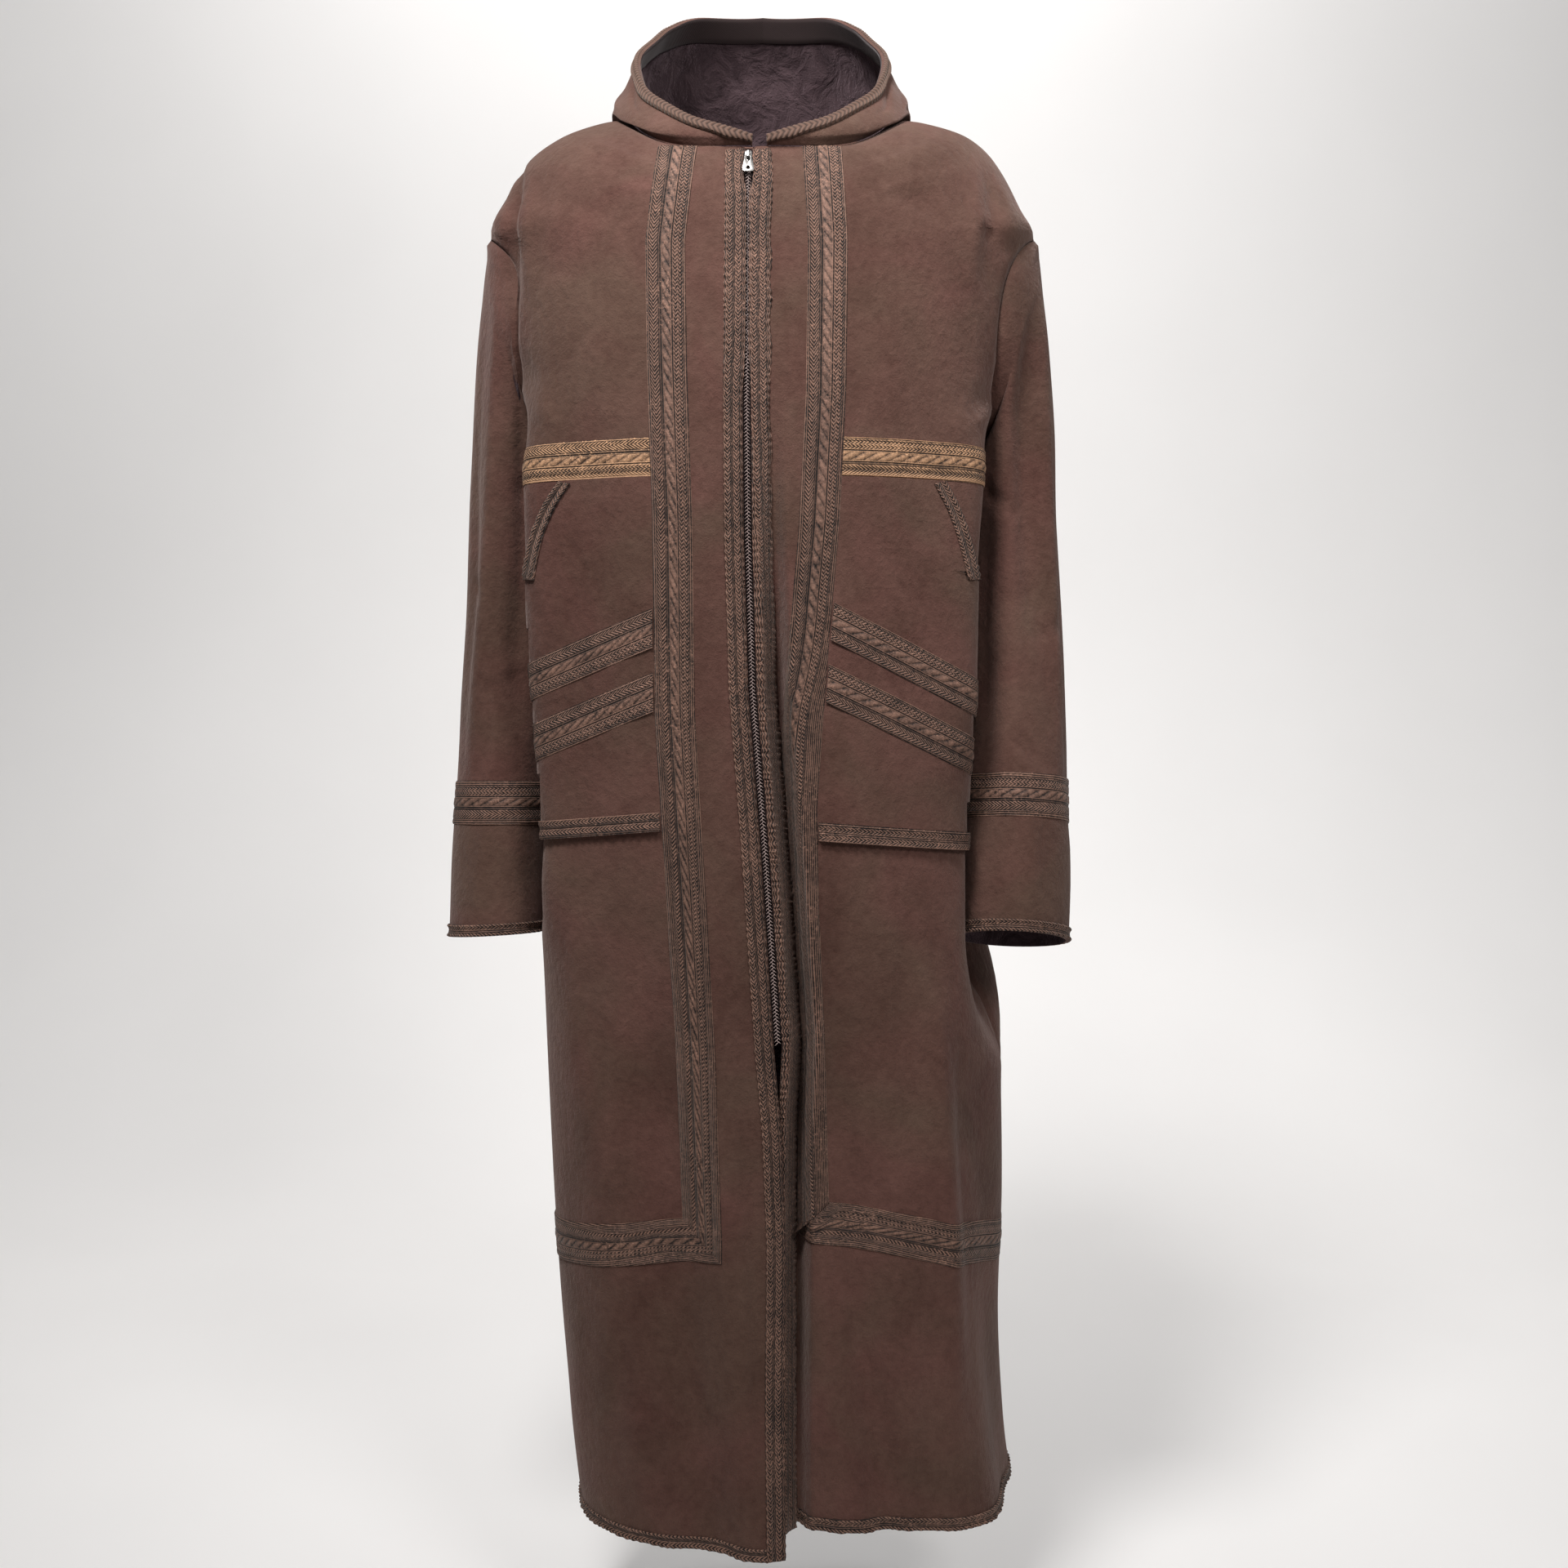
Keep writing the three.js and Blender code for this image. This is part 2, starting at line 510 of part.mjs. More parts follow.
// A sleeve's columns start from the corners of the armhole's edge
function sleeveGrid(side) {
  const sign = side === "left" ? 1 : -1;
  const seated = ringRows.filter((ring) => Math.abs(ring - ARMHOLE.ring) < ARMHOLE.ringHalf + 0.01);
  const rise = (ring) => Math.min(Math.max((ARMHOLE.ring - ring) / ARMHOLE.ringHalf, -1), 1);
  const half = seated.map((ring) => Math.acos(rise(ring)));
  const columns = [...half, ...half.slice(1, -1).map((angle) => 2 * Math.PI - angle).reverse()];
  const collar = (angle, lift) => {
    const ring = ARMHOLE.ring - ARMHOLE.ringHalf * Math.cos(angle);
    const turn = sign * 90 + ARMHOLE.turnHalf * Math.sin(angle);
    const step = 0.02;
    const cloth = Math.abs(turn) > 90 ? "back" : side;
    const point = bodyPoint(ring, turn, cloth);
    const down = bodyPoint(ring + step, turn, cloth).sub(bodyPoint(ring - step, turn, cloth));
    const round = bodyPoint(ring, turn + 1, cloth).sub(bodyPoint(ring, turn - 1, cloth));
    return point.addScaledVector(down.cross(round).normalize(), lift);
  };
  const tube = (place, angle) => {
    const row = rowAt(SLEEVE[side], place);
    const tilt = radians(row.tilt);
    const wide = row.half * Math.cos(angle);
    return new THREE.Vector3(
      sign * (row.out + wide * Math.cos(tilt)),
      row.ahead + row.deep * sign * Math.sin(angle),
      row.height + wide * Math.sin(tilt) - row.sag * sign * Math.sin(angle),
    );
  };
  const lifts = [{ lift: SEAM_GAP }, { lift: SLEEVE_COLLAR }];
  const rows = [...lifts, ...sleevePlaces(side).map((place) => ({ place }))];
  const place = (row, angle) => (row.lift ? collar(angle, row.lift) : tube(row.place, angle));
  return makeGrid(rows, columns, place, { wraps: true });
}

function hoodPoint(place, share, sign) {
  const row = rowAt(HOOD, place);
  const seat = bodyPoint(0, sign * row.turn, sign > 0 ? "left" : "right");
  const neck = [Math.hypot(seat.x, seat.y) - SEAM_GAP, seat.z + HOOD_SEAT];
  const line = [row.rim, row.flare, row.belly, row.low, row.tuck, neck].map(([out, up]) => ({ out, up }));
  const { out, up } = rowAt(line, share * (line.length - 1));
  const turn = radians(sign * row.turn);
  return new THREE.Vector3(out * Math.sin(turn), -out * Math.cos(turn), up);
}

// How far down a section of the hood a given distance from its rim is
function hoodShare(place, sign, distance, most) {
  const steps = 200;
  let [share, length, last] = [0, 0, hoodPoint(place, 0, sign)];
  while (length < distance && share < most) {
    share += 1 / steps;
    const next = hoodPoint(place, share, sign);
    length += next.distanceTo(last);
    last = next;
  }
  return share;
}

function hoodGrid(side) {
  const sign = side === "left" ? 1 : -1;
  const last = HOOD.length - 1;
  const columns = [...Array(HOOD_COLUMNS + 1).keys()].map((n) => (n / HOOD_COLUMNS) * last);
  const rows = [...Array(HOOD_ROWS + 3).keys()];
  const grid = makeGrid(rows, sign > 0 ? columns : columns.reverse(), (row, place) => {
    const braidEnd = hoodShare(place, sign, HOOD_BRAID, 0.4);
    const facingEnd = hoodShare(place, sign, HOOD_FACING, 0.6);
    const share = [0, braidEnd, facingEnd][row] ?? facingEnd + ((1 - facingEnd) * (row - 2)) / HOOD_ROWS;
    return hoodPoint(place, share, sign);
  });
  const back = sign > 0 ? columns.length - 1 : 0;
  grid.points.forEach((line) => (line[back].x = (sign * SEAM_GAP) / 2));
  grid.normals.forEach((line) => line[back].setX(0).normalize());
  return grid;
}

// Pieces

const abaya = new THREE.Group();

function finish(colour, roughness, metalness = 0) {
  return new THREE.MeshStandardMaterial({ color: colour, roughness, metalness });
}

function addPiece(name, shape, material, group = abaya) {
  const mesh = new THREE.Mesh(shape, material);
  mesh.name = name;
  group.add(mesh);
}

const suede = () => finish(COLOURS.suede, 0.9);
const braid = () => finish(COLOURS.braid, 0.75);

const grids = {
  front_right: frontGrid("right"),
  front_left: frontGrid("left"),
  back: backGrid(),
  sleeve_right: sleeveGrid("right"),
  sleeve_left: sleeveGrid("left"),
  hood_right: hoodGrid("right"),
  hood_left: hoodGrid("left"),
};
const zipEdges = { right: grids.front_right, left: grids.front_left };
grids.front_right = columnsOf(grids.front_right, 0, -1);
grids.front_left = columnsOf(grids.front_left, 1);

for (const [name, grid] of Object.entries(grids)) addPiece(name, wall(grid, -CLOTH, 0), suede());

// Trim is a thin layer over a grid, cut to an outline, and cut back from the trim that lies beside it
const onPanel = SEAM_GAP;
const onPocket = SEAM_GAP + PATCH + SEAM_GAP;
const layers = new Map();

function layerOf(name, lift, thick) {
  const key = [name, lift, thick].join();
  if (!layers.has(key)) layers.set(key, solidOf(wall(grids[name], lift, lift + thick)));
  return layers.get(key);
}

function addTrim(name, cloth, lift, block, { thick = BRAID, beside = [], material = braid() } = {}) {
  let solid = layerOf(cloth, lift, thick).intersect(block);
  for (const other of beside) solid = solid.subtract(other);
  addPiece(name, shapeFrom(solid), material);
}

function band(outline, depths = FRONT_ONLY) {
  return prism(outline, ...depths);
}

// An outline that is a level strip whose height droops towards the sides
function droopingStrip(middle, side, tall, from, to) {
  const reach = 230;
  const steps = 8;
  const places = [...Array(steps + 1).keys()].map((n) => from + ((to - from) * n) / steps);
  const top = (x) => middle + (side - middle) * Math.min((x / reach) ** 2, 1);
  return [...places.map((x) => [x, top(x)]), ...places.reverse().map((x) => [x, top(x) - tall])];
}

// The mouth of a pocket is bound by a braid just inside the patch's slanted edge
function mouthStrip(mouth, sign) {
  const inside = mouth.map((row) => [row.across - sign * NARROW_BRAID, row.height - 3]);
  return [...mouth.map((row) => [row.across + sign, row.height]), ...inside.reverse()];
}

const POCKET_DEPTHS = [-260, -36];
const FACING_FROM = 4; // the facing shows from this column of the hood to its back seam
const ZIP_HEIGHTS = [SLIDER.middle + 2.6, -300, -420, -560, -700, -820, ZIP_FOOT];

for (const side of ["right", "left"]) {
  const sign = side === "left" ? 1 : -1;
  const front = "front_" + side;
  const pocket = POCKET[side];
  const edge = (height) => lineAt(OPENING, "height", height, side) + sign * ZIP_GAP;
  const heights = OPENING.map((row) => row.height).filter((height) => height < -50);
  const edgeHeights = [-40, ...heights.slice(0, -1), -1360];
  const edgeLine = (offset) => edgeHeights.map((z) => [edge(z) + sign * offset, z]);
  const grown = 2 * SEAM_GAP;

  const edgeBraid = band([...edgeLine(-8), ...edgeLine(NARROW_BRAID).reverse()]);
  const edgeGap = band([...edgeLine(-8), ...edgeLine(NARROW_BRAID + SEAM_GAP).reverse()]);
  const longBand = band(downStrip(LONG_BAND[side], WIDE_BRAID));
  const longGap = band(downStrip(LONG_BAND[side], WIDE_BRAID + grown));
  const lowerTop = side === "left" ? LOWER_BAND.leftFront : LOWER_BAND.rightFront;
  const lowerFrom = LONG_BAND[side].at(-1).across - (sign * WIDE_BRAID) / 2;
  const lower = (depths, gap) => {
    const tall = LOWER_BAND.tall + 2 * gap;
    return band(droopingStrip(lowerTop + gap, LOWER_BAND.side + gap, tall, lowerFrom, sign * 260), depths);
  };
  const chest = band([
    [sign * 60, CHEST_BAND.top],
    [sign * 250, CHEST_BAND.top],
    [sign * 250, CHEST_BAND.top - CHEST_BAND.tall],
    [sign * 60, CHEST_BAND.top - CHEST_BAND.tall],
  ], [-260, -34]);

  const pocketOutline = [
    [pocket.inner, CHEST_BAND.top - CHEST_BAND.tall - SEAM_GAP],
    ...pocket.mouth.map((row) => [row.across, row.height]),
    [pocket.outer, pocket.mouth.at(-1).height],
    [pocket.outer, pocket.hem.to[1] - NARROW_BRAID / 2],
    [pocket.hem.from[0], pocket.hem.from[1] - NARROW_BRAID / 2],
  ];
  const onThePocket = band(pocketOutline, POCKET_DEPTHS);
  const mouth = band(mouthStrip(pocket.mouth, sign), POCKET_DEPTHS);
  const pocketHem = band(strip(pocket.hem, NARROW_BRAID), POCKET_DEPTHS);

  addTrim("front_braid_" + side, front, onPanel, edgeBraid);
  addTrim("long_band_" + side, front, onPanel, longBand, { beside: [edgeGap, lower(FRONT_ONLY, SEAM_GAP)] });
  addTrim("lower_band_" + side, front, onPanel, lower(FRONT_ONLY, 0), { beside: [edgeGap] });
  addTrim("chest_band_" + side, front, onPanel, chest, { beside: [longGap] });
  const patch = { thick: PATCH, beside: [longGap], material: suede() };
  addTrim("pocket_" + side, front, onPanel, onThePocket, patch);
  const pocketTrim = (name, block, beside) => {
    addTrim(name + side, front, onPocket, block.intersect(onThePocket), { beside: [longGap, ...beside] });
  };
  pocketTrim("pocket_mouth_braid_", mouth, []);
  pocketTrim("pocket_hem_band_", pocketHem, []);
  ["upper", "lower"].forEach((name, n) => {
    const slant = band(strip(pocket.slants[n], WIDE_BRAID), POCKET_DEPTHS);
    pocketTrim("slant_band_" + name + "_", slant, [mouth]);
  });

  // Hem, cuff, sleeve and hood trims follow their cloth's own rows
  const hemRows = rowsOf(grids[front], -2);
  const hem = solidOf(wall(hemRows, onPanel, onPanel + BRAID)).subtract(edgeGap);
  addPiece("hem_braid_" + side, shapeFrom(hem), braid());
  const sleeve = grids["sleeve_" + side];
  addPiece("cuff_braid_" + side, wall(rowsOf(sleeve, -2), onPanel, onPanel + BRAID), braid());
  const bandRow = 2 + sleevePlaces(side).indexOf(SLEEVE_BAND[side][0]);
  const bandRows = rowsOf(sleeve, bandRow, bandRow + 2);
  addPiece("sleeve_band_" + side, wall(bandRows, onPanel, onPanel + BRAID), braid());
  const hood = grids["hood_" + side];
  addPiece("hood_braid_" + side, wall(rowsOf(hood, 0, 2), onPanel, onPanel + BRAID), braid());
  const faced = side === "left" ? [FACING_FROM, HOOD_COLUMNS + 1] : [0, HOOD_COLUMNS + 1 - FACING_FROM];
  const facing = columnsOf(rowsOf(hood, 0, 3), ...faced);
  const inside = -CLOTH - SEAM_GAP;
  addPiece("hood_facing_" + side, wall(facing, inside - BRAID, inside), finish(COLOURS.facing, 0.9));

  // Zip tape behind the front's edge
  const zip = zipEdges[side];
  const beside = side === "left" ? columnsOf(zip, 0, 4) : columnsOf(zip, -3);
  const zipLine = (offset) => ZIP_HEIGHTS.map((z) => [edge(z) - sign * (ZIP_GAP - offset), z]);
  const tapeBlock = band([...zipLine(SEAM_GAP / 2), ...zipLine(TAPE.wide).reverse()]);
  const under = -CLOTH - TAPE.under;
  const tape = solidOf(wall(beside, under - TAPE.thick, under)).intersect(tapeBlock);
  addPiece("zip_tape_" + side, shapeFrom(tape), finish(COLOURS.tape, 0.8));
}

// The parts of the hem, lower band and zip that cross the back or the middle
const reach = 250;
const backDepths = [-10, 260];
const backBand = droopingStrip(LOWER_BAND.side, LOWER_BAND.side, LOWER_BAND.tall, -reach, reach);
addTrim("lower_band_back", "back", onPanel, band(backBand, backDepths));
addPiece("hem_braid_back", wall(rowsOf(grids.back, -2), onPanel, onPanel + BRAID), braid());

const zipLeftColumn = zipEdges.left;
const coilGrid = {
  points: zipLeftColumn.points.map(([point]) =>
    [-0.5, 0.5].map((k) => point.clone().setX(point.x + k * COIL.wide)),
  ),
  normals: zipLeftColumn.normals.map((line) => [line[0], line[0]]),
  wraps: false,
};
const coilBlock = band([
  [-reach, ZIP_HEIGHTS[0]],
  [reach, ZIP_HEIGHTS[0]],
  [reach, ZIP_FOOT],
  [-reach, ZIP_FOOT],
]);
const coil = solidOf(wall(coilGrid, COIL.low, COIL.high)).intersect(coilBlock);
addPiece("zip_coil", shapeFrom(coil), finish(COLOURS.coil, 0.5));

// The slider stands square to the slope of the chest
const zipPoint = (height) => {
  const line = zipLeftColumn.points.map((row) => row[0]);
  const n = line.findIndex((point) => point.z < height);
  return line[n - 1].clone().lerp(line[n], (line[n - 1].z - height) / (line[n - 1].z - line[n].z));
};
const [sliderTop, sliderFoot] = [1, -1].map((k) => zipPoint(SLIDER.middle + (k * SLIDER.tall) / 2));
const slope = Math.atan2(sliderTop.y - sliderFoot.y, sliderTop.z - sliderFoot.z);
const zipGroup = new THREE.Group();
zipGroup.position.copy(zipPoint(SLIDER.middle));
zipGroup.rotation.x = Math.PI / 2 - slope;
abaya.add(zipGroup);

function slab(outline, low, high, holes = []) {
  const shape = new THREE.Shape(outline.map(([x, y]) => new THREE.Vector2(x, y)));
  shape.holes = holes.map((hole) => new THREE.Path(hole.map(([x, y]) => new THREE.Vector2(x, y))));
  const block = new THREE.ExtrudeGeometry(shape, { depth: high - low, bevelEnabled: false });
  block.translate(0, 0, low);
  block.deleteAttribute("uv");
  block.deleteAttribute("normal");
  block.setIndex([...Array(block.attributes.position.count).keys()]);
  return block;
}

function rectangle(wide, from, to) {
  return [
    [-wide / 2, from],
    [wide / 2, from],
    [wide / 2, to],
    [-wide / 2, to],
  ];
}

function roundedStrip(wide, from, to, steps = 4) {
  const radius = wide / 2;
  const arc = (middle, start) =>
    [...Array(steps + 1).keys()].map((n) => {
      const angle = start + (n / steps) * Math.PI;
      return [radius * Math.cos(angle), middle + radius * Math.sin(angle)];
    });
  return [...arc(to - radius, 0), ...arc(from + radius, Math.PI)];
}

function sliderShape() {
  const half = SLIDER.tall / 2;
  const plate = slab(
    [
      [-SLIDER.foot / 2, -half],
      [SLIDER.foot / 2, -half],
      [SLIDER.wide / 2, -half / 3],
      [SLIDER.wide / 2, half * 0.75],
      [SLIDER.wide / 3, half],
      [-SLIDER.wide / 3, half],
      [-SLIDER.wide / 2, half * 0.75],
      [-SLIDER.wide / 2, -half / 3],
    ],
    SLIDER.low,
    SLIDER.high,
  );
  const { wide, tall, low, high, post: postWide } = SLIDER_BACK;
  const backPlate = slab(rectangle(wide, half - tall, half), low, high);
  const post = slab(rectangle(postWide, half - postWide * 0.7, half), low, SLIDER.high);
  const arch = slab(
    [
      [-BRIDGE.reach, SLIDER.high - 0.2],
      [-BRIDGE.reach, BRIDGE.outside - 1],
      [-BRIDGE.reach + 1, BRIDGE.outside],
      [BRIDGE.reach - 1, BRIDGE.outside],
      [BRIDGE.reach, BRIDGE.outside - 1],
      [BRIDGE.reach, SLIDER.high - 0.2],
      [BRIDGE.reach - BRIDGE.wall, SLIDER.high - 0.2],
      [BRIDGE.reach - BRIDGE.wall, BRIDGE.inside],
      [BRIDGE.wall - BRIDGE.reach, BRIDGE.inside],
      [BRIDGE.wall - BRIDGE.reach, SLIDER.high - 0.2],
    ],
    -BRIDGE.wide / 2,
    BRIDGE.wide / 2,
  );
  arch.rotateX(Math.PI / 2).rotateZ(Math.PI / 2);
  const joined = [backPlate, post, arch].reduce((solid, shape) => solid.add(solidOf(shape)), solidOf(plate));
  return shapeFrom(joined);
}

// The pull hangs from a bar inside the bridge, and the bridge's lower leg stands in its eye
function pullShape() {
  const top = PIVOT.up + PIVOT.bar;
  const foot = top - PULL.tall;
  const outline = [
    [-PULL.head / 2 + 1, top],
    [-PULL.head / 2, top - 1],
    [-PULL.head / 2, top - 4],
    [-PULL.foot / 2, foot + 4],
    [-PULL.foot / 2, foot + 1.5],
    [-PULL.foot / 2 + 1.5, foot],
    [PULL.foot / 2 - 1.5, foot],
    [PULL.foot / 2, foot + 1.5],
    [PULL.foot / 2, foot + 4],
    [PULL.head / 2, top - 4],
    [PULL.head / 2, top - 1],
    [PULL.head / 2 - 1, top],
  ];
  const eyeFoot = roundedStrip(PULL_HOLES.eyeWide, PIVOT.up - PULL_HOLES.eyeEnd, PIVOT.up, 3);
  const eye = [
    ...eyeFoot.filter(([, y]) => y < PIVOT.up - 3),
    [PULL_HOLES.eyeWide / 2, PIVOT.up - PIVOT.bar],
    [-PULL_HOLES.eyeWide / 2, PIVOT.up - PIVOT.bar],
  ];
  const slotFoot = foot + PULL_HOLES.slotFoot;
  const slot = roundedStrip(PULL_HOLES.slotWide, slotFoot, slotFoot + PULL_HOLES.slotTall, 3);
  return slab(outline, PIVOT.out - PULL.thick / 2, PIVOT.out + PULL.thick / 2, [eye, slot]);
}

addPiece("slider", sliderShape(), finish(COLOURS.nickel, 0.35, 0.9), zipGroup);
addPiece("pull", pullShape(), finish(COLOURS.nickel, 0.3, 0.9), zipGroup);

export default abaya;
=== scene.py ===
"""A hooded fleece abaya with woven braid trim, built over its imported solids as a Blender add-on.

Tables and sizes are in millimetres, as the garment's maker would write them, and meshes are in metres.
"Right" and "left" are the wearer's. Turns are in degrees round the body from the front, +90 at the left side.
"""

import math

import bpy
import numpy as np
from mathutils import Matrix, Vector


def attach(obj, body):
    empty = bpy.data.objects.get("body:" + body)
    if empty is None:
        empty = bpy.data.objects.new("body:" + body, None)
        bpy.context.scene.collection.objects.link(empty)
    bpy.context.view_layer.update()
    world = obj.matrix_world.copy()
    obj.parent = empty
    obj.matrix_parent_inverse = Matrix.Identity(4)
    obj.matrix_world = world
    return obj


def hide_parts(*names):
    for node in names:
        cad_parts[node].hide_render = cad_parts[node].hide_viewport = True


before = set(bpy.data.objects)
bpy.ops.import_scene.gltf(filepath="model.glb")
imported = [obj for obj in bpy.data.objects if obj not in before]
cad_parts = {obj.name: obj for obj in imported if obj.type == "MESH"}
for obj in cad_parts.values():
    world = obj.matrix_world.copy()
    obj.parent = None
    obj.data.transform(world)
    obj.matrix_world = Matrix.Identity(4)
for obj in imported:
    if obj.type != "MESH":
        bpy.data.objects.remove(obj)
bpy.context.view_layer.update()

bl_info = {
    "name": "Fleece abaya",
    "version": (1, 0, 0),
    "blender": (4, 5, 0),
    "location": "View3D > Sidebar > Abaya",
    "description": "Builds the cloth, braids and zip of a hooded fleece abaya over its solids",
    "category": "Object",
}

MM = 0.001
GARMENT = "garment"
SIDES = {"right": -1, "left": 1}


# Values between rows of a table


class Table:
    """Rows of numbers under named columns, read between rows along a smooth curve."""

    def __init__(self, columns, *rows):
        self.columns = columns.split()
        self.rows = np.array(rows, float)
        self.last = len(rows) - 1

    def column(self, name):
        return self.rows[:, self.columns.index(name)]

    def at(self, place):
        """Each column's value at a place counted in rows."""
        values = curve_through(self.rows, np.asarray(place, float))
        return {name: values[..., n] for n, name in enumerate(self.columns)}

    def line(self, key, at, name):
        """A column's value along straight lines where another column has a given value."""
        order = np.argsort(self.column(key))
        return np.interp(at, self.column(key)[order], self.column(name)[order])


def blend_four(a, b, c, d, k):
    bend = 2 * a - 5 * b + 4 * c - d
    twist = 3 * b - a - 3 * c + d
    return 0.5 * (2 * b + (c - a) * k + bend * k**2 + twist * k**3)


def curve_through(rows, place):
    last = len(rows) - 1
    i = np.clip(np.floor(place).astype(int), 0, last - 1)
    a, b, c, d = (rows[np.clip(i + n, 0, last)] for n in (-1, 0, 1, 2))
    return blend_four(a, b, c, d, (place - i)[..., None])


def smooth(x):
    k = np.clip(x, 0, 1)
    return k * k * (3 - 2 * k)


def lerp(a, b, k):
    return a + (b - a) * k


# Sizes of the garment

CLOTH = 3.0
PATCH = 2.0
BRAID = 1.2
SEAM_GAP = 0.3
WIDE_BRAID = 36.0
NARROW_BRAID = 17.0
MOUTH_BRAID = 12.0
HOOD_BRAID = 12.0
HOOD_FACING = 24.0

# Closed rings round the body, from the neck seam to the hem
BODY = Table(
    "side front back half fore aft shift crown",
    (3, -58, 16, 128, 97, 92, 0, 6),
    (-2, -72, 2, 150, 102, 99, 2, 4),
    (-12, -90, -20, 182, 108, 106, 4, 4),
    (-24, -108, -44, 204, 112, 111, 5, 3),
    (-40, -126, -68, 226, 115, 114, 5, 3),
    (-62, -146, -92, 243, 117, 116, 5, 2),
    (-90, -168, -118, 254, 119, 118, 4, 2),
    (-112, -190, -146, 259, 121, 119, 3, 2),
    (-140, -214, -174, 254, 123, 120, 2, 2),
    (-180, -244, -210, 247, 125, 121, 0, 2),
    (-235, -290, -262, 239, 127, 121, -3, 2),
    (-300, -340, -318, 231, 128, 120, -5, 2),
    (-370, -392, -380, 228, 127, 118, -6, 2),
    (-450, -460, -455, 226, 124, 117, -7, 2),
    (-580, -580, -580, 222, 123, 119, -4, 2),
    (-700, -700, -700, 219, 124, 122, 2, 2),
    (-800, -800, -800, 219, 124, 124, 8, 2),
    (-920, -920, -920, 219, 124, 125, 13, 2),
    (-1040, -1040, -1040, 217, 125, 126, 17, 2),
    (-1160, -1160, -1160, 211, 127, 127, 20, 2),
    (-1260, -1262, -1260, 208, 129, 128, 28, 2),
    (-1328, -1338, -1330, 209, 131, 130, 35, 2),
)
BODY_SQUARENESS = 2.6

# Folds that run down the cloth, pushed out or in over a spread of degrees
FOLDS = Table(
    "turn foot push spread top base fade",
    (96, 92, -46, 15, -300, -600, 110),
    (88, 84, -50, 12, -650, -790, 130),
    (264, 268, -55, 17, -280, -660, 130),
    (68, 66, 13, 8, -310, -560, 120),
    (292, 292, 16, 8, -310, -720, 120),
    (112, 114, 13, 12, -520, -1000, 160),
    (104, 98, 13, 9, -800, -850, 100),
    (52, 58, 9, 10, -860, -1330, 160),
    (68, 78, -9, 9, -900, -1330, 160),
    (28, 34, -8, 9, -760, -1340, 200),
    (318, 326, -9, 9, -840, -1340, 220),
    (302, 306, 8, 10, -900, -1180, 200),
    (340, 345, 6, 8, -900, -1340, 200),
    (140, 132, -10, 11, -330, -1330, 260),
    (160, 157, 11, 12, -420, -1330, 300),
    (181, 184, -9, 10, -280, -1330, 240),
    (204, 210, 10, 12, -460, -1330, 280),
    (226, 236, -10, 11, -360, -1330, 260),
    (246, 250, 9, 10, -520, -1330, 240),
)

# Where each front ends across, the pleat's depth, and how far the left edge lies behind the right
OPENING = Table(
    "height right left tuck behind",
    (-40, -10, -10, 0, 0),
    (-300, -11, -11, 0, 0),
    (-420, -10, -10, 14, 0),
    (-560, -6, -6, 32, 0),
    (-700, 5, 5, 38, 0),
    (-820, 13, 13, 39, 0),
    (-880, 17, 17, 37, 0),
    (-960, 24, 13, 34, 8),
    (-1060, 28, 12, 30, 9),
    (-1200, 27, 12, 23, 9),
    (-1340, 28, 12, 16, 9),
)
ZIP_TOP = -66.4
ZIP_FOOT = -878.0
ZIP_GAP = 3.8
ZIP_COVER = {"most": 3.0, "from": -92.0, "to": -300.0}  # where the braids all but meet over the zip
TUCK_FROM = 8.0
TUCK_WIDE = 29.0
LEFT_FRONT_RISE = {"most": 24.0, "reach": 230.0}
HEM_LIFT = {"most": 13.0, "from": -900.0, "over": 430.0}
ARMHOLE = {"ring": 9.15, "ring_half": 1.95, "turn_half": 16.0}

SLEEVE = {
    "right": Table(
        "out ahead height half deep tilt sag",
        (242, 4, -220, 90, 62, 74, 0),
        (241, 8, -250, 78, 60, 65, 0),
        (241, 14, -290, 63, 58, 50, 0),
        (242, 18, -340, 52, 57, 34, 0),
        (243, 20, -396, 48, 57, 19, 0),
        (246, 20, -472, 46, 57, 6, 0),
        (250, 17, -560, 46, 56, 0, 0),
        (253, 12, -640, 46, 55, 0, 0),
        (256, 5, -720, 46, 54, 0, 1),
        (258, 0, -789, 46, 54, -3, 2),
    ),
    "left": Table(
        "out ahead height half deep tilt sag",
        (247, 4, -220, 90, 62, 74, 0),
        (246, 8, -250, 78, 60, 65, 0),
        (245, 13, -290, 63, 58, 50, 0),
        (246, 16, -340, 53, 57, 34, 0),
        (247, 17, -396, 48, 57, 19, 0),
        (248, 14, -472, 49, 56, 6, 0),
        (249, 4, -560, 50, 54, 0, 0),
        (247, -10, -640, 52, 52, -2, 4),
        (244, -22, -720, 54, 50, -3, 8),
        (241, -28, -792, 55, 49, -3, 12),
    ),
}
# Where the cloth stands out or in over the shoulders, by ring and turn
SHOULDER = Table(
    "side ring turn push ring_half turn_half",
    (-1, 7.1, 90, 5.5, 0.7, 24),
    (1, 7.2, 90, 4.0, 0.6, 22),
    (1, 5.0, 88, -9.0, 1.5, 26),
)
# How far off the body's cloth a sleeve starts, just under it, and where it then rolls over
SLEEVE_SUNK = -3.6
SLEEVE_COLLAR = 3.5
SLEEVE_BAND = {"right": (7.0, 7.52), "left": (6.95, 7.48)}
CUFF_BRAID = 0.24
HEM_BRAID = 0.23

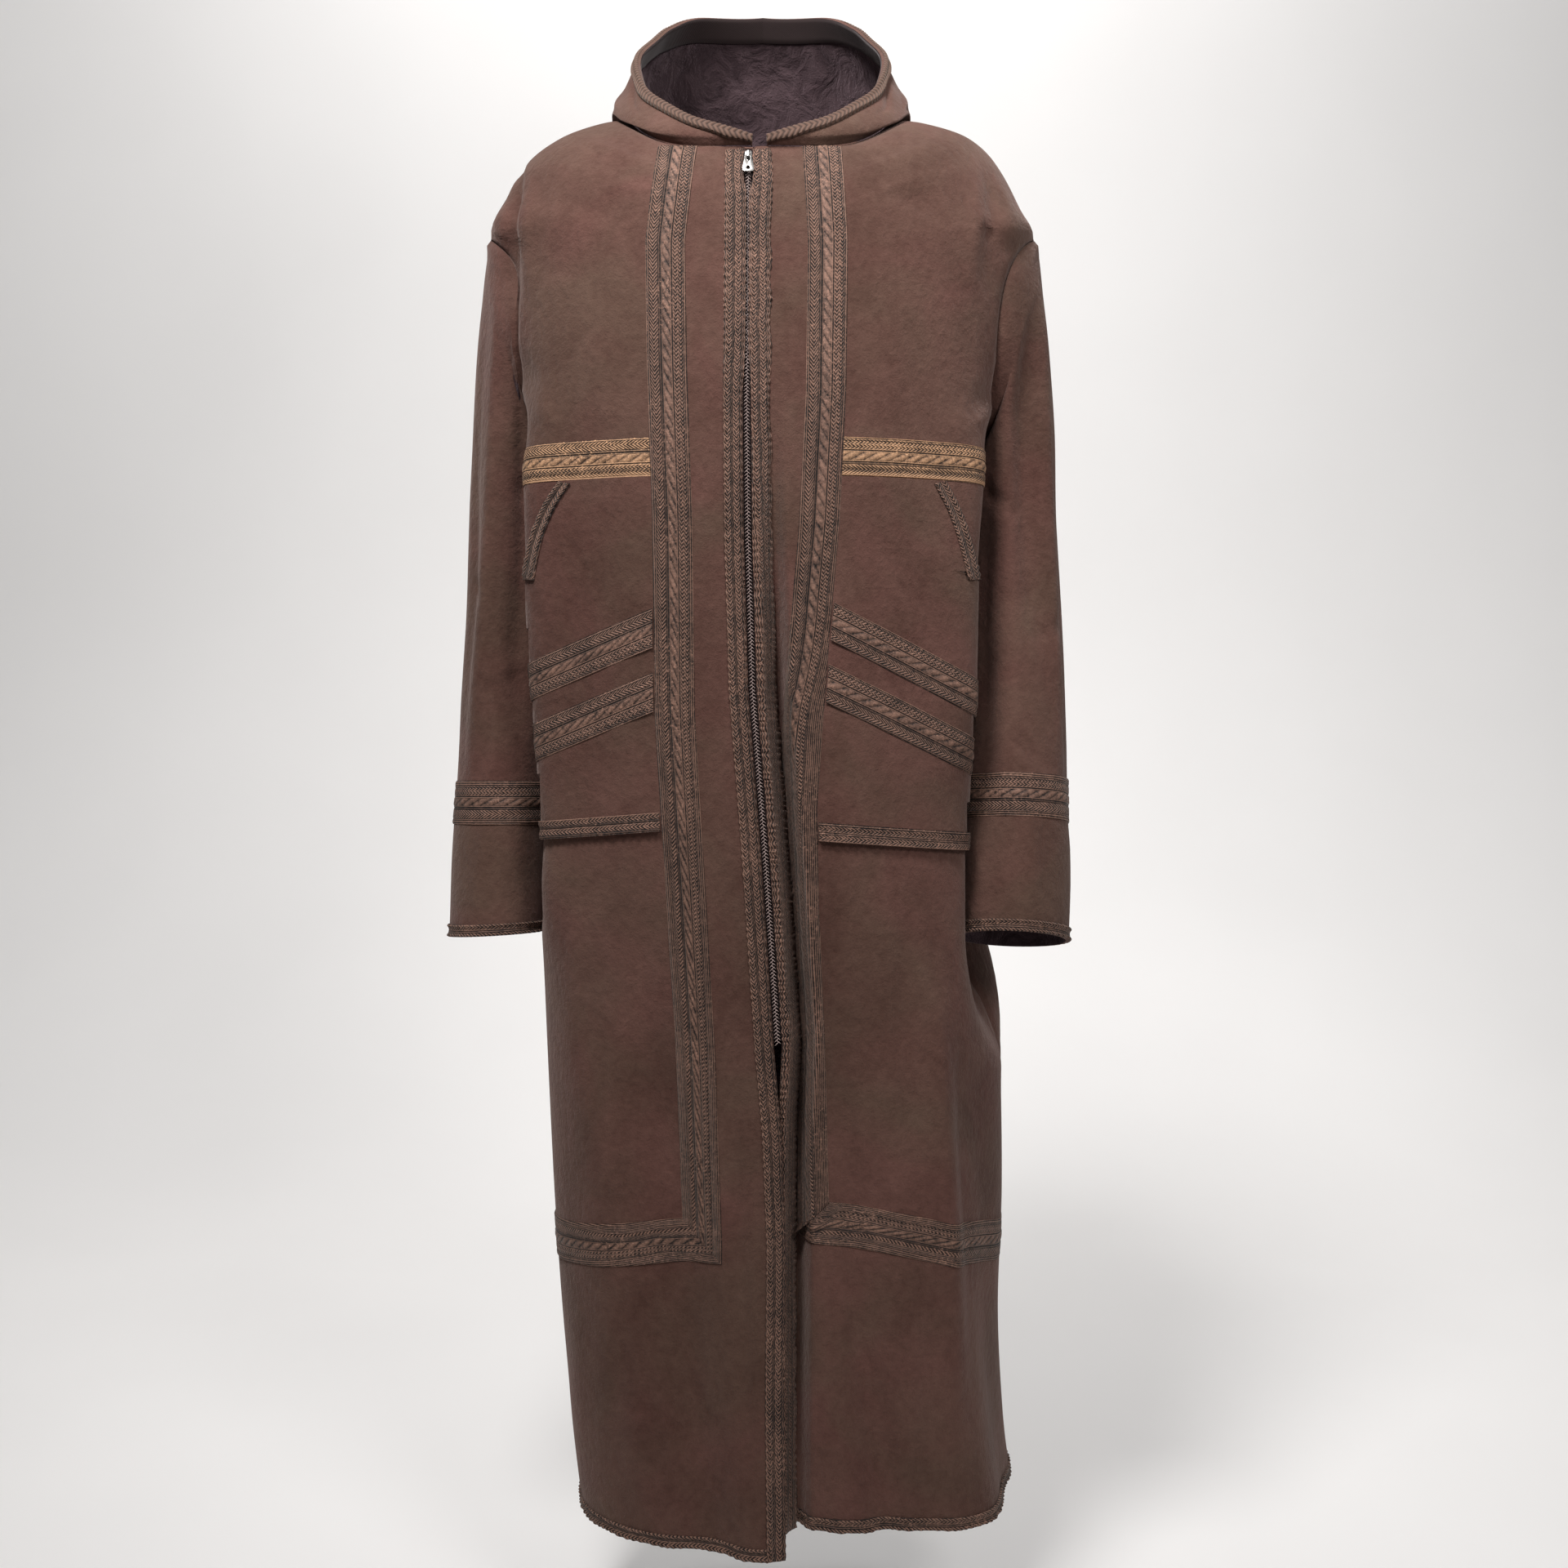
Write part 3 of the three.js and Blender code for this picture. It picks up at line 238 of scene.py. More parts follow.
# Sections of the lowered hood: distance out from the neck's axis and height, from its rim to its seam
HOOD = Table(
    "turn rim_out rim_up flare_out flare_up belly_out belly_up low_out low_up tuck_out tuck_up",
    (4, 98, -49, 99, -51, 99, -53, 98, -55, 97, -56.5),
    (20, 101, -39, 104, -43, 106, -47, 106, -51, 104, -54.5),
    (35, 106, -28, 111, -34, 115, -41, 116, -47, 113, -51.5),
    (50, 110, -9, 119, -20, 127, -31, 129, -39, 125, -42),
    (65, 116, 14, 128, -1, 138, -13, 141, -20, 134, -21),
    (80, 119, 46, 130, 26, 141, 10, 145, 2, 138, 1),
    (95, 121, 76, 134, 46, 146, 20, 147, 6, 139, 7),
    (115, 121, 110, 140, 72, 157, 28, 156, 4, 138, 10),
    (130, 124, 137, 154, 90, 174, 20, 167, -34, 136, 4),
    (150, 130, 163, 166, 104, 187, 8, 170, -100, 128, -4),
    (180, 135, 174, 172, 112, 196, 6, 172, -138, 122, -6),
)
HOOD_SEAT = 1.0

# Braids and pockets, as seen from the front
LONG_BAND = {
    "right": Table(
        "across height",
        (-75, -53),
        (-85, -152),
        (-83, -265),
        (-78, -400),
        (-76, -577),
        (-70, -680),
        (-57, -893),
        (-51, -1052),
    ),
    "left": Table(
        "across height",
        (57, -53),
        (62, -152),
        (60, -290),
        (54, -410),
        (46, -500),
        (40, -580),
        (34, -665),
        (36, -760),
        (42, -900),
        (46, -1052),
    ),
}
CHEST_BAND = {"top": -331.0, "tall": 35.0}
POCKET = {
    "right": {
        "inner": (-94, -88),
        "outer": -226,
        "mouth": Table("across height", (-183, -366), (-198, -388), (-210, -417), (-217, -452)),
        "slants": {"upper": ((-94, -502), (-222, -553)), "lower": ((-94, -560), (-222, -611))},
        "hem": ((-88, -677), (-216, -687)),
    },
    "left": {
        "inner": (56, 40),
        "outer": 222,
        "mouth": Table("across height", (170, -366), (184, -392), (194, -420), (202, -452)),
        "slants": {"upper": ((58, -493), (214, -571)), "lower": ((58, -551), (214, -626))},
        "hem": ((40, -685), (214, -698)),
    },
}
POCKET_DEPTH = -36.0
CHEST_BAND_DEPTH = -34.0
LOWER_BAND = {"right": -1034.0, "left": -1018.0, "side": -1060.0, "tall": 39.0, "reach": 230.0}

# Creases: from one place to another as seen from the front or back, how far each stands out,
# and half its width. On the sleeves and body alike they fade out at both ends.
CREASES = Table(
    "facing from_across from_height to_across to_height push wide",
    (1, -231, -46, -226, -196, -9.0, 6),
    (1, -219, -60, -215, -196, 3.6, 9),
    (1, 214, -60, 213, -196, -4.0, 9),
    (1, 201, -70, 200, -190, 3.0, 9),
    (1, -252, -76, -238, -150, 2.5, 9),
    (1, 226, -70, 238, -140, 2.5, 9),
    (1, 206, -128, 232, -150, -2.0, 9),
    (1, -200, -300, -232, -236, -4.0, 8),
    (1, -186, -322, -228, -262, 3.0, 9),
    (1, 190, -318, 226, -246, -4.5, 8),
    (1, 176, -330, 224, -276, 3.0, 10),
    (1, -168, -128, -118, -106, -2.4, 10),
    (1, 112, -102, 170, -126, -2.4, 10),
    (1, -150, -200, -138, -320, 1.8, 16),
    (1, 128, -190, 118, -318, 1.8, 16),
    (1, -180, -760, -150, -1010, 3.0, 15),
    (1, -112, -720, -98, -1000, -3.0, 16),
    (1, -176, -1100, -166, -1320, 3.2, 13),
    (1, -124, -1090, -128, -1325, -3.0, 12),
    (1, -84, -1110, -82, -1320, 2.6, 11),
    (1, -8, -930, 2, -1300, -3.0, 10),
    (1, 78, -760, 96, -1030, 3.4, 14),
    (1, 128, -740, 150, -1080, -3.6, 13),
    (1, 168, -820, 178, -1290, 4.2, 11),
    (1, 186, -860, 194, -1240, -4.2, 9),
    (1, 92, -1080, 104, -1315, -3.2, 12),
    (1, 132, -1075, 140, -1325, 3.2, 11),
    (1, 60, -1070, 58, -1310, 2.6, 10),
    (-1, -230, -130, -176, -170, -4.6, 9),
    (-1, 176, -168, 232, -132, -4.6, 9),
    (-1, -214, -300, -150, -340, -4.0, 12),
    (-1, 146, -338, 212, -296, -4.0, 12),
    (-1, -176, -330, -112, -420, 2.8, 14),
    (-1, 104, -410, 170, -326, 2.8, 14),
    (-1, -150, -560, -134, -980, 3.6, 16),
    (-1, -92, -640, -104, -1290, -3.8, 15),
    (-1, -20, -520, -34, -1200, 3.4, 15),
    (-1, 44, -600, 40, -1310, -3.8, 15),
    (-1, 100, -540, 116, -1260, 3.6, 16),
    (-1, 158, -720, 150, -1300, -3.4, 13),
)

# Creases in the sleeves, by their angle round the tube: 0 is its outer edge and 90 the front
SLEEVE_CREASES = {
    "right": Table(
        "from_angle from_height to_angle to_height push wide",
        (70, -160, 62, -660, 6.0, 10),
        (44, -170, 38, -640, -3.6, 10),
        (104, -190, 112, -600, -6.5, 12),
        (132, -280, 128, -720, 3.2, 12),
        (40, -320, 34, -560, -2.6, 12),
        (84, -620, 76, -770, 2.4, 9),
        (150, -330, 100, -372, -3.6, 8),
        (20, -440, 66, -470, -2.4, 8),
        (120, -520, 60, -548, 2.2, 9),
        (250, -220, 262, -700, -4.0, 13),
        (300, -260, 296, -640, 3.4, 14),
        (220, -360, 214, -760, 3.2, 12),
        (330, -420, 270, -450, -2.8, 9),
        (230, -540, 290, -570, -2.6, 9),
    ),
    "left": Table(
        "from_angle from_height to_angle to_height push wide",
        (54, -130, 42, -640, 7.0, 10),
        (82, -180, 72, -520, -8.5, 16),
        (26, -140, 16, -640, -5.0, 10),
        (108, -240, 102, -700, 3.8, 12),
        (132, -300, 126, -760, -3.6, 12),
        (18, -400, 10, -700, -3.2, 12),
        (86, -640, 80, -780, 3.0, 9),
        (140, -350, 92, -392, -3.6, 8),
        (30, -480, 74, -506, -2.6, 8),
        (108, -600, 50, -632, -2.6, 9),
        (248, -230, 258, -720, -4.0, 13),
        (302, -270, 292, -660, 3.4, 14),
        (216, -380, 220, -760, 3.2, 12),
        (320, -430, 262, -462, -2.8, 9),
        (240, -560, 296, -590, -2.6, 9),
    ),
}

# Soft lumps of plush inside the hood and slack in its cloth, by turn and share of the way down a section
HOOD_CREASES = Table(
    "from_turn from_share to_turn to_share push wide",
    (58, 0.30, 84, 0.10, -2.6, 5),
    (74, 0.44, 104, 0.24, 2.8, 7),
    (98, 0.52, 128, 0.30, -3.4, 8),
    (120, 0.62, 150, 0.36, 3.4, 9),
    (142, 0.30, 178, 0.42, -3.6, 9),
    (140, 0.56, 176, 0.62, 3.8, 10),
    (112, 0.14, 140, 0.20, 2.6, 7),
)

# The zip's closed teeth
TOOTH = {"pitch": 3.2, "reach": 2.4, "thick": 0.8, "tall": 1.3, "overlap": 0.7, "lift": -1.2, "lean": 0.85}
TAPE = {"wide": 11.0, "thick": 0.9, "under": 0.5}

# How the cloth draws in where it is sewn, and swells beside the seam
SEAM = {"dip": 1.7, "dip_wide": 4.5, "swell": 0.7, "swell_at": 9.0, "swell_wide": 5.0}
BRAID_LIFT = 0.5  # of a braid over the cloth
POCKET_BRAID_LIFT = SEAM_GAP + PATCH + 1.3  # of a braid on a pocket over the front

STEP = 5.0  # between points of the cloth
RIPPLE_WAVES = 7
SLEEVE_COLUMNS = 72
BRAID_STEP = 1.5
ROPE = {"pitch": 12.0, "lean": 1.7, "middle": 0.6, "reach": 3.6}
GAP_SHADE_DEPTHS = (560.0, 860.0)  # how far below the neck the painted shade in the rope's gaps begins, and where it is darkest
BRAID_GROOVES = (-15.6, -5.6, -4.2, 5.6, 14.6)
WIDE_ROWS = ((-15.6, -7.4), (7.0, 10.8), (11.2, 15.4))
NARROW_ROWS = ((-7.4, -2.6), (0.6, 5.4))
NARROW_GROOVES = (-1.8, 6.4)
CRINKLE = 0.85  # waves of a narrow braid's edge, in radians for each millimetre
FLOOR = -1.47
# The paper of the stage: how wide and long it is, where it starts, and how it turns up behind, in metres
PAPER = {"wide": 14.0, "long": 9.0, "from": -4.0, "flat": 5.2, "radius": 1.4}
CAMERA = {"place": (0.0224, -1.52, -0.643), "sensor": 36.0, "lens": 35.625}


# Surfaces of the body


def fold_push(turn, height):
    push = np.zeros(turn.shape)
    for fold in FOLDS.rows:
        f = dict(zip(FOLDS.columns, fold))
        down = (f["top"] - height) / (f["top"] - f["base"])
        middle = f["turn"] + (f["foot"] - f["turn"]) * np.clip(down, 0, 1)
        off = ((turn - middle + 540) % 360 - 180) / f["spread"]
        begun = smooth((f["top"] - height) / f["fade"] + 0.5)
        unended = smooth((height - f["base"]) / f["fade"] + 1)
        push += f["push"] * np.exp(-off * off) * begun * unended
    return push


def body_point(ring, turn, side):
    ring, turn = np.broadcast_arrays(np.asarray(ring, float), np.asarray(turn, float))
    row = BODY.at(ring)
    s, c = np.sin(np.radians(turn)), np.cos(np.radians(turn))
    ahead = c > 0
    depth = np.where(ahead, row["fore"], row["aft"])
    middle = np.where(ahead, row["front"], row["back"])
    n = BODY_SQUARENESS
    reach = (np.abs(s / row["half"]) ** n + np.abs(c / depth) ** n) ** (-1 / n)
    level = middle + (row["side"] - middle) * np.abs(s) ** row["crown"]
    lift = HEM_LIFT["most"] * np.maximum(s, 0) ** 2 * smooth((HEM_LIFT["from"] - level) / HEM_LIFT["over"])
    height = level + lift
    out = reach + fold_push(turn % 360, height)
    points = np.stack([out * s + row["shift"], -out * c, height], -1)
    if side == "left":
        points = np.where(ahead[..., None], shape_opening(points), points)
    return points


def shape_opening(points):
    """The pleat beside the zip, the left front's rise, and its place behind the right front."""
    x, y, z = points[..., 0], points[..., 1], points[..., 2]
    edge = OPENING.line("height", z, "left")
    off = x - edge - TUCK_FROM
    across = 2 * off / TUCK_WIDE - 1
    tuck = OPENING.line("height", z, "tuck") * (1 + np.cos(np.pi * np.clip(across, -1, 1))) / 2
    behind = OPENING.line("height", z, "behind") * (1 - smooth((off - 18) / 60))
    rise = LEFT_FRONT_RISE["most"] * smooth((-z - 700) / 600) * (1 - smooth(off / LEFT_FRONT_RISE["reach"]))
    return np.stack([x, y + tuck + behind, z + rise], -1)


def normals_of(place, down, across, step_down, step_across):
    """Outward normals of a surface, from a step each way along its two directions."""
    falling = place(down + step_down, across) - place(down - step_down, across)
    passing = place(down, across + step_across) - place(down, across - step_across)
    normal = np.cross(falling, passing)
    return normal / np.maximum(np.linalg.norm(normal, axis=-1, keepdims=True), 1e-9)


def crease_shape(places, start, end, wide):
    """How much of a crease from start to end is felt at each place: its middle wanders and its ends fade."""
    along = end - start
    length = np.linalg.norm(along)
    rel = places - start
    t = (rel @ along) / length**2
    d = (rel[..., 0] * along[1] - rel[..., 1] * along[0]) / length
    d = d + 0.35 * wide * np.sin(5.3 * t + start[0])
    width = wide * (0.75 + 0.45 * np.clip(t, 0, 1))
    return np.exp(-((d / width) ** 2)) * np.sin(np.pi * np.clip(t, 0, 1)) ** 0.8


def ripple(points, size, seed, stretch=1.0):
    """A gentle unevenness from about -1 to 1, the same on every run."""
    rng = np.random.default_rng(seed)
    total = 0
    for _ in range(RIPPLE_WAVES):
        direction = rng.normal(size=3) * (1, 1, 1 / stretch)
        direction *= 2 * np.pi / size * rng.uniform(0.6, 1.5) / np.linalg.norm(direction)
        total = total + np.sin(points @ direction + rng.uniform(0, 2 * np.pi))
    return total * 1.5 / RIPPLE_WAVES


def shoulder_swell(ring, turn):
    push = np.zeros(ring.shape)
    for on, at, round_to, out, tall, wide in SHOULDER.rows:
        off = ((turn - on * round_to + 540) % 360 - 180) / wide
        push += out * np.exp(-(((ring - at) / tall) ** 2) - off * off)
    return push


def body_cloth(ring, turn, side):
    """Points and normals of the worn cloth, with its creases."""
    ring, turn = np.broadcast_arrays(np.asarray(ring, float), np.asarray(turn, float))
    points = body_point(ring, turn, side)
    normals = normals_of(lambda r, t: body_point(r, t, side), ring, turn, 0.012, 0.4)
    seen = points[..., [0, 2]]
    depth = settings().crease_depth
    push = ripple(points, 150, 3, 2.6) * 1.1 * smooth((-points[..., 2] - 60) / 200)
    push = push + shoulder_swell(ring, turn)
    for crease in CREASES.rows:
        facing, x0, z0, x1, z1, out, wide = crease
        on_side = smooth(0.35 - facing * normals[..., 1] * 2.2)
        push = push + out * on_side * crease_shape(seen, np.array([x0, z0]), np.array([x1, z1]), wide)
    return points + normals * (push * depth)[..., None], normals


class FrontMap:
    """Finds the place on a front that is seen at a given distance across and a given height."""

    STEP = 4.0

    def __init__(self, side):
        self.side = side
        self.sign = SIDES[side]
        self.turns = np.linspace(-12, 96, 433) * self.sign
        self.heights = np.arange(-20, -1372, -self.STEP)
        rings = np.linspace(0, BODY.last + 0.4, 1500)
        grid = body_point(rings[:, None], self.turns, side)
        columns = [np.interp(-self.heights, -grid[:, j, 2], rings) for j in range(len(self.turns))]
        self.rings = np.stack(columns, 1)
        points = body_point(self.rings, self.turns, side)
        self.outward = np.maximum.accumulate(points[..., 0] * self.sign, axis=1)
        self.depth = np.maximum.accumulate(points[..., 1], axis=1)

    def row_of(self, height):
        place = np.clip((self.heights[0] - height) / self.STEP, 0, len(self.heights) - 1.001)
        return int(place), place % 1

    def turn_where(self, table, wanted, height):
        """The turn, going out from the front, at which a quantity of the cloth reaches what is wanted."""
        wanted, height = np.broadcast_arrays(np.asarray(wanted, float), np.asarray(height, float))
        found = np.empty(wanted.shape)
        for n in np.ndindex(wanted.shape):
            i, k = self.row_of(height[n])
            found[n] = np.interp(wanted[n], lerp(table[i], table[i + 1], k), self.turns)
        return found

    def turn_at(self, across, height):
        return self.turn_where(self.outward, np.asarray(across) * self.sign, height)

    def kept_ahead(self, turn, height, depth):
        """Holds a turn to the cloth that lies ahead of a depth."""
        limit = self.turn_where(self.depth, depth, height)
        return self.sign * np.minimum(self.sign * turn, self.sign * limit)

    def ring_at(self, turn, height):
        turn, height = np.broadcast_arrays(np.asarray(turn, float), np.asarray(height, float))
        j = np.clip((turn - self.turns[0]) / (self.turns[1] - self.turns[0]), 0, len(self.turns) - 1.001)
        i = np.clip((self.heights[0] - height) / self.STEP, 0, len(self.heights) - 1.001)
        i0, j0 = i.astype(int), j.astype(int)
        upper = lerp(self.rings[i0, j0], self.rings[i0, j0 + 1], j - j0)
        lower = lerp(self.rings[i0 + 1, j0], self.rings[i0 + 1, j0 + 1], j - j0)
        return lerp(upper, lower, i - i0)

    def cloth(self, turn, height):
        return body_cloth(self.ring_at(turn, height), turn, self.side)

    def seen(self, across, height):
        return self.cloth(self.turn_at(across, height), height)


MAPS = {side: FrontMap(side) for side in SIDES}


# Surfaces of the sleeves and the hood


def sleeve_point(side, row, angle):
    """A point of a sleeve: rows 0 and 1 follow the armhole's edge, and row 2 starts the tube."""
    row, angle = np.broadcast_arrays(np.asarray(row, float), np.asarray(angle, float))
    control = [collar_point(side, angle, lift) for lift in (SLEEVE_SUNK, SLEEVE_COLLAR)]
    control += [tube_point(side, np.full(angle.shape, float(n)), angle) for n in (0, 1)]
    i = np.clip(np.floor(row), 0, 1).astype(int)
    k = (row - i)[..., None]
    stack = np.stack([control[0], *control])
    picked = [np.take_along_axis(stack, np.clip(i + n, 0, 4)[None, ..., None], 0)[0] for n in range(4)]
    upper = blend_four(*picked, np.clip(k, 0, 1))
    lower = tube_point(side, np.maximum(row - 2, 0), angle)
    return np.where((row < 2)[..., None], upper, lower)


def collar_point(side, angle, lift):
    sign = SIDES[side]
    ring = ARMHOLE["ring"] - ARMHOLE["ring_half"] * np.cos(angle)
    turn = sign * 90 + ARMHOLE["turn_half"] * np.sin(angle)
    points, normals = body_cloth(ring, turn, side)
    return points + normals * lift


def tube_point(side, place, angle):
    sign = SIDES[side]
    row = SLEEVE[side].at(place)
    tilt = np.radians(row["tilt"])
    wide = row["half"] * np.cos(angle)
    return np.stack(
        [
            sign * (row["out"] + wide * np.cos(tilt)),
            row["ahead"] + row["deep"] * sign * np.sin(angle),
            row["height"] + wide * np.sin(tilt) - row["sag"] * sign * np.sin(angle),
        ],
        -1,
    )


def sleeve_cloth(side, row, angle):
    row, angle = np.broadcast_arrays(np.asarray(row, float), np.asarray(angle, float))
    points = sleeve_point(side, row, angle)
    normals = normals_of(lambda r, a: sleeve_point(side, r, a), row, angle, 0.02, 0.02)
    round_degrees = (np.degrees(angle) * -SIDES[side]) % 360
    seen = np.stack([round_degrees * 0.9, points[..., 2]], -1)
    free = smooth((row - 1.2) / 2) * smooth((SLEEVE[side].last + 2.2 - row) / 0.5)
    push = ripple(points, 110, 5, 1.6) * 1.4
    for crease in SLEEVE_CREASES[side].rows:
        a0, z0, a1, z1, out, wide = crease
        push = push + out * crease_shape(seen, np.array([a0 * 0.9, z0]), np.array([a1 * 0.9, z1]), wide)
    return points + normals * (push * free * settings().crease_depth)[..., None], normals


def hood_sections(place, sign):
    row = HOOD.at(place)
    seat = body_point(np.zeros(place.shape), sign * row["turn"], "left" if sign > 0 else "right")
    names = ("rim", "flare", "belly", "low", "tuck")
    outs = [row[name + "_out"] for name in names]
    ups = [row[name + "_up"] for name in names]
    outs.append(np.hypot(seat[..., 0], seat[..., 1]) - SEAM_GAP)
    ups.append(seat[..., 2] + HOOD_SEAT)
    return row["turn"], np.stack([np.stack(outs, -1), np.stack(ups, -1)], -1)


def hood_point(place, share, sign):
    place, share = np.broadcast_arrays(np.asarray(place, float), np.asarray(share, float))
    turn, line = hood_sections(place, sign)
    last = line.shape[-2] - 1
    at = share * last
    i = np.clip(np.floor(at).astype(int), 0, last - 1)
    rows = [np.clip(i + n, 0, last)[..., None, None] for n in (-1, 0, 1, 2)]
    picked = [np.take_along_axis(line, row, -2)[..., 0, :] for row in rows]
    out_up = blend_four(*picked, (at - i)[..., None])
    angle = np.radians(sign * turn)
    return np.stack([out_up[..., 0] * np.sin(angle), -out_up[..., 0] * np.cos(angle), out_up[..., 1]], -1)


def hood_share(place, sign, distance):
    """How far down each section a distance from the rim is."""
    shares = np.linspace(0, 0.6, 121)
    line = hood_point(place[:, None], shares, sign)
    run = np.cumsum(np.linalg.norm(np.diff(line, axis=1), axis=-1), axis=1)
    run = np.concatenate([np.zeros((len(place), 1)), run], axis=1)
    return np.array([np.interp(distance, run[n], shares) for n in range(len(place))])


def hood_cloth(place, share, sign):
    place, share = np.broadcast_arrays(np.asarray(place, float), np.asarray(share, float))
    points = hood_point(place, share, sign)
    normals = normals_of(lambda s, p: hood_point(p, s, sign), share, place, 0.004, 0.02 * sign)
    turn = HOOD.at(place)["turn"]
    flat = np.stack([turn * 2.4, share * 150], -1)
    push = ripple(points, 90, 9) * 1.2 * smooth(share * 5)
    for crease in HOOD_CREASES.rows:
        t0, s0, t1, s1, out, wide = crease
        shape = crease_shape(flat, np.array([t0 * 2.4, s0 * 150]), np.array([t1 * 2.4, s1 * 150]), wide)
        push = push + out * shape * (1 if sign > 0 else 0.8)
    seam = smooth(np.abs(points[..., 0]) / 14)
    fade = smooth(turn / 40) * smooth((1 - share) * 4)
    return points + normals * (push * fade * (0.3 + 0.7 * seam) * settings().crease_depth)[..., None], normals


# Meshes


def new_object(name, vertices, faces, uv=None, slots=None):
    mesh = bpy.data.meshes.new(name)
    mesh.from_pydata((np.asarray(vertices) * MM).tolist(), [], faces)
    if uv is not None:
        layer = mesh.uv_layers.new(name="Cloth")
        corners = np.empty(len(mesh.loops), np.int32)
        mesh.loops.foreach_get("vertex_index", corners)
        layer.data.foreach_set("uv", (np.asarray(uv)[corners] * MM).ravel())
    if slots is not None:
        mesh.polygons.foreach_set("material_index", np.asarray(slots, np.int32))
    piece = bpy.data.objects.new(name, mesh)
    bpy.context.scene.collection.objects.link(piece)
    bpy.ops.object.select_all(action="DESELECT")
    piece.select_set(True)
    bpy.context.view_layer.objects.active = piece
    bpy.ops.object.shade_smooth_by_angle(angle=math.radians(48))
    return piece


def run_lengths(points, axis):
    """Distance in millimetres from the first row or column to each point."""
    steps = np.linalg.norm(np.diff(points, axis=axis), axis=-1)
    start = np.zeros_like(np.take(steps, [0], axis=axis))
    return np.concatenate([start, np.cumsum(steps, axis=axis)], axis=axis)


def grid_faces(rows, columns, start, wraps, flip=False):
    i, j = np.meshgrid(np.arange(rows - 1), np.arange(columns if wraps else columns - 1), indexing="ij")
    right = (j + 1) % columns
    corners = [i * columns + j, (i + 1) * columns + j, (i + 1) * columns + right, i * columns + right]
    if flip:
        corners.reverse()
    return (np.stack(corners, -1).reshape(-1, 4) + start).tolist()


def faced_out(points, normals):
    """Turns the columns round where rows and columns would face the cloth inwards."""
    down = points[1:, :-1] - points[:-1, :-1]
    across = points[:-1, 1:] - points[:-1, :-1]
    facing = (np.cross(down, across) * normals[:-1, :-1]).sum(-1).mean()
    return (points, normals) if facing > 0 else (points[:, ::-1], normals[:, ::-1])


def wall(name, points, normals, low, high, wraps=False):
    """A closed wall of cloth: its face and edges have material slot 0 and its plush back slot 1."""
    rows, columns = points.shape[:2]
    count = rows * columns
    outer = points + normals * np.broadcast_to(high, points.shape[:2])[..., None]
    inner = points + normals * np.broadcast_to(low, points.shape[:2])[..., None]
    if faced_out(points, normals)[0] is not points:
        points, outer, inner = points[:, ::-1], outer[:, ::-1], inner[:, ::-1]
    vertices = np.concatenate([outer.reshape(-1, 3), inner.reshape(-1, 3)])
    faces = grid_faces(rows, columns, 0, wraps) + grid_faces(rows, columns, count, wraps, flip=True)
    slots = [0] * (len(faces) // 2) + [1] * (len(faces) // 2)
    around = columns if wraps else columns - 1
    end = (rows - 1) * columns
    for j in range(around):
        k = (j + 1) % columns
        faces.append([k, count + k, count + j, j])
        faces.append([end + j, end + count + j, end + count + k, end + k])
    if not wraps:
        for i in range(rows - 1):
            a, b = i * columns, (i + 1) * columns
            faces.append([a, count + a, count + b, b])
            a, b = a + columns - 1, b + columns - 1
            faces.append([b, count + b, count + a, a])
    slots += [0] * (len(faces) - len(slots))
    uv = np.stack([run_lengths(points, 1), run_lengths(points, 0)], -1).reshape(-1, 2)
    return new_object(name, vertices, faces, np.concatenate([uv, uv]), slots)


def trim(name, points, normals, lift, relief, wraps=False):
    """A strip sewn on the cloth: a fine top, and a plain back. Rows run along it and columns across."""
    points, normals = faced_out(points, normals)
    rows, columns = points.shape[:2]
    along = run_lengths(points, 0)[:, columns // 2]
    across = run_lengths(points, 1)
    across = across - across[:, -1:] / 2
    uv = np.stack([np.broadcast_to(along[:, None], across.shape), across], -1)
    top = points + normals * (lift + relief(uv[..., 0], uv[..., 1], np.abs(across[:, -1:])))[..., None]
    back = points[:, [0, -1]] + normals[:, [0, -1]] * (lift - 0.15)
    count = rows * columns
    vertices = np.concatenate([top.reshape(-1, 3), back.reshape(-1, 3)])
    uv = np.concatenate([uv.reshape(-1, 2), uv[:, [0, -1]].reshape(-1, 2)])
    faces = []
    spans = rows if wraps else rows - 1
    for i in range(spans):
        k = (i + 1) % rows
        a, b = i * columns, k * columns
        faces += [[a + j, b + j, b + j + 1, a + j + 1] for j in range(columns - 1)]
        c, d = count + 2 * i, count + 2 * k
        faces.append([c, c + 1, d + 1, d])
        faces.append([a, c, d, b])
        faces.append([b + columns - 1, d + 1, c + 1, a + columns - 1])
    if not wraps:
        faces.append([*range(columns), count + 1, count])
        end = (rows - 1) * columns
        faces.append([*range(end + columns - 1, end - 1, -1), count + 2 * rows - 2, count + 2 * rows - 1])
    return new_object(name, vertices, faces, uv)


def settle(piece, node, materials, body=GARMENT):
    """Gives a piece its materials and its place in the frame."""
    for material in materials:
        piece.data.materials.append(material)
    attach(piece, body)
    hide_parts(node)
    return piece


def declare_sheet(points):
    """Works out the area of a piece of cloth from its rows and columns; the area is not used."""
    a, b, c, d = points[:-1, :-1], points[1:, :-1], points[1:, 1:], points[:-1, 1:]
    area = (np.linalg.norm(np.cross(c - a, d - b), axis=-1).sum() / 2) * MM**2


# Reliefs of the braids


def pillow(across, width):
    """Rises from the sewn edge to the braid's full thickness within two millimetres."""
    edge = np.clip((width - np.abs(across)) / 2.0, 0, 1)
    return np.sqrt(1 - (1 - edge) ** 2)


def rope_phase(along, across):
    """Turns of the twisted cord down the middle of a wide braid."""
    return (along - ROPE["lean"] * across) / ROPE["pitch"]


